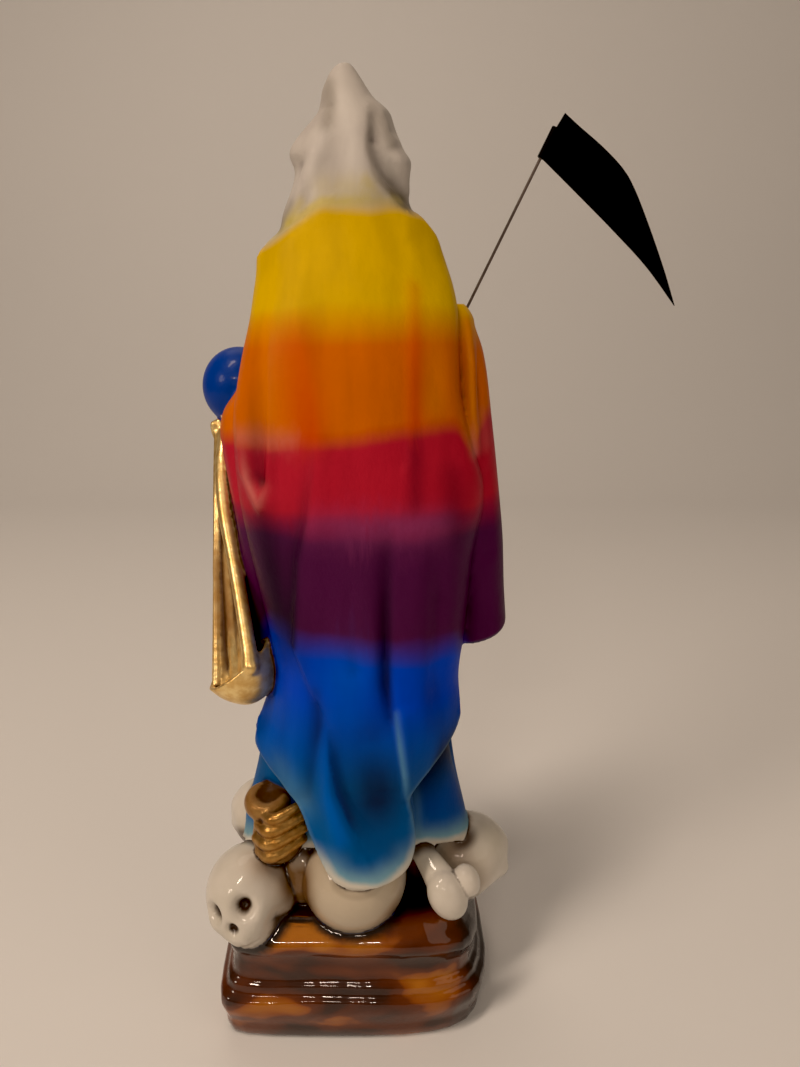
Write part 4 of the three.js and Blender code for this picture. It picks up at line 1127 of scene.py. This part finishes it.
def rod(start, end, radius, around, bevel=0.0):
    """A round bar between two places in the frame, with its radius and bevel in units."""
    way = unit(end - start)
    side = np.cross(way, [0, 1, 0])
    stations = [(start, radius - bevel), (end, radius - bevel)]
    if bevel:
        stations[1:1] = [(start + way * bevel * UNIT, radius), (end - way * bevel * UNIT, radius)]
    angle = turns(around)[:, None]
    ring = (side * cos(angle) + np.array([0, 1, 0]) * sin(angle)) * UNIT
    return skin(np.array([place + r * ring for place, r in stations]))


def finished(name, mesh, material, node, sharp=35):
    """A piece of the dressed part, with its edges sharp above an angle in degrees."""
    mesh.name = name
    mesh.polygons.foreach_set("use_smooth", np.ones(len(mesh.polygons), bool))
    mesh.set_sharp_from_angle(angle=radians(sharp))
    mesh.materials.append(material)
    piece = placed(name, mesh)
    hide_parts(node)
    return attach(piece, "root")


def sheet(corner):
    """The flat blade, from the place in the frame where its two edges start."""
    share = np.linspace(0, 0.997, 60)  # short of 1, so that the tip keeps a width
    edges = [curve(line, share)[:, None] * BLADE_REACH * UNIT for line in (BLADE_HOLLOW, BLADE_BACK)]
    across, high = np.array(SHEET_EDGE + [(s, -h) for s, h in SHEET_EDGE[::-1]]).T
    flat = mix(*edges, across[:, None])
    return skin(corner + points(-flat[..., 0], high * SHEET / 2 * UNIT, flat[..., 1]))


def scythe():
    foot, top = wire_ends()
    way = unit(top - foot) * UNIT
    handle = mesh_of("handle", *rod(foot, top, WIRE_RADIUS, 24, BEVEL))
    finished("scythe_wire", handle, wire_paint(), "scythe_handle")
    corner = top + way * (SOCKET_WALL - SOCKET_LENGTH) + np.array([WIRE_RADIUS + FIT_GAP, 0, 0]) * UNIT
    inner = WIRE_RADIUS + ROLL_GAP
    roll = rod(top - way * SOCKET_LENGTH, top + way * (ROLL_GAP + ROLL_WALL), inner + ROLL_WALL, 48, BEVEL)
    bore = rod(foot, top + way * ROLL_GAP, inner, 48)
    blade = combined(mesh_of("blade", *sheet(corner)), mesh_of("roll", *roll), "UNION")
    blade = combined(blade, mesh_of("bore", *bore), "DIFFERENCE")
    blade = applied(blade, "WELD", merge_threshold=0.01 * UNIT)
    finished("scythe_blade_sheet", blade, blade_paint(), "scythe_blade")


# Floor, light and camera


def floor():
    """A pale floor that sweeps up behind the object."""
    wide, near, far, bend, tall = 2.5, 1.5, -0.55, 0.35, 2.2
    angle = np.linspace(0.05, pi / 2, 24)
    y = np.concatenate([[near, far], far - bend * sin(angle), [far - bend]])[:, None]
    z = np.concatenate([[0, 0], bend * (1 - cos(angle)), [tall]])[:, None]
    k = 2 * np.arange(len(y) - 1)
    mesh = mesh_of("floor", points([-wide, wide], y, z).reshape(-1, 3), np.stack([k, k + 1, k + 3, k + 2], 1))
    mesh.polygons.foreach_set("use_smooth", np.ones(len(mesh.polygons), bool))
    paint = Shader("floor_paint")
    paint.set(Base_Color=(0.8, 0.79, 0.78), Roughness=0.6)
    mesh.materials.append(paint.material)
    placed("floor", mesh)


WARM = (1.0, 0.82, 0.66)
BLACK_LEVEL = 0.006


def lamp(name, at, aim, wide, long, power):
    light = bpy.data.lights.new(name, "AREA")
    light.shape = "ELLIPSE"
    light.size, light.size_y = wide, long
    light.energy = power
    light.color = WARM
    holder = bpy.data.objects.new(name, light)
    holder.location = at
    holder.rotation_euler = (Vector(aim) - Vector(at)).to_track_quat("-Z", "Y").to_euler()
    scene.collection.objects.link(holder)


# Rows of small bulbs: x from and to, count and power
BULBS = [(0.14, 0.36, 12, 0.16), (-0.02, 0.01, 3, 0.2), (-0.09, -0.06, 3, 0.2)]


def light_it():
    middle = (0, 0, 0.12)
    lamp("key", (0.27, 0.25, 1), middle, 0.12, 0.4, 3.4)
    lamp("left", (0.8, 0.6, 0.55), middle, 0.3, 0.3, 2.8)
    lamp("side", (-0.7, 0.5, 0.5), middle, 0.7, 0.7, 0.9)
    lamp("back", (0.2, -0.45, 0.9), middle, 0.5, 0.5, 0.8)
    for low, high, count, power in BULBS:
        for x in np.linspace(low, high, count):
            lamp("bulb", (x, 1.1, 0.75), (x, 0, 0.05), 0.02, 0.02, power)
    world = bpy.data.worlds.new("world")
    world.use_nodes = True
    background = world.node_tree.nodes["Background"]
    background.inputs[0].default_value = (*WARM, 1)
    background.inputs[1].default_value = 0.1
    scene.world = world


# The view: 190 mm behind the figure's middle at hood height, looking down 16 degrees
CAMERA_AT, CAMERA_DOWN, FOCAL_PIXELS, PHOTO_TALL, SENSOR = (-12, 190, 183.3), 16, 801, 1067, 36


def camera():
    view = bpy.data.cameras.new("camera")
    view.sensor_width = SENSOR
    view.lens = SENSOR * FOCAL_PIXELS / PHOTO_TALL
    view.clip_start = 0.01
    holder = bpy.data.objects.new("camera", view)
    holder.location = [v * UNIT for v in CAMERA_AT]
    holder.rotation_euler = (radians(90 - CAMERA_DOWN), 0, pi)
    scene.collection.objects.link(holder)
    scene.camera = holder


camera()
casting()
scythe()
floor()
light_it()
scene.view_settings.view_transform = "Standard"
scene.view_settings.use_curve_mapping = True
scene.view_settings.curve_mapping.black_level = [BLACK_LEVEL] * 3
scene.cycles.use_denoising = True
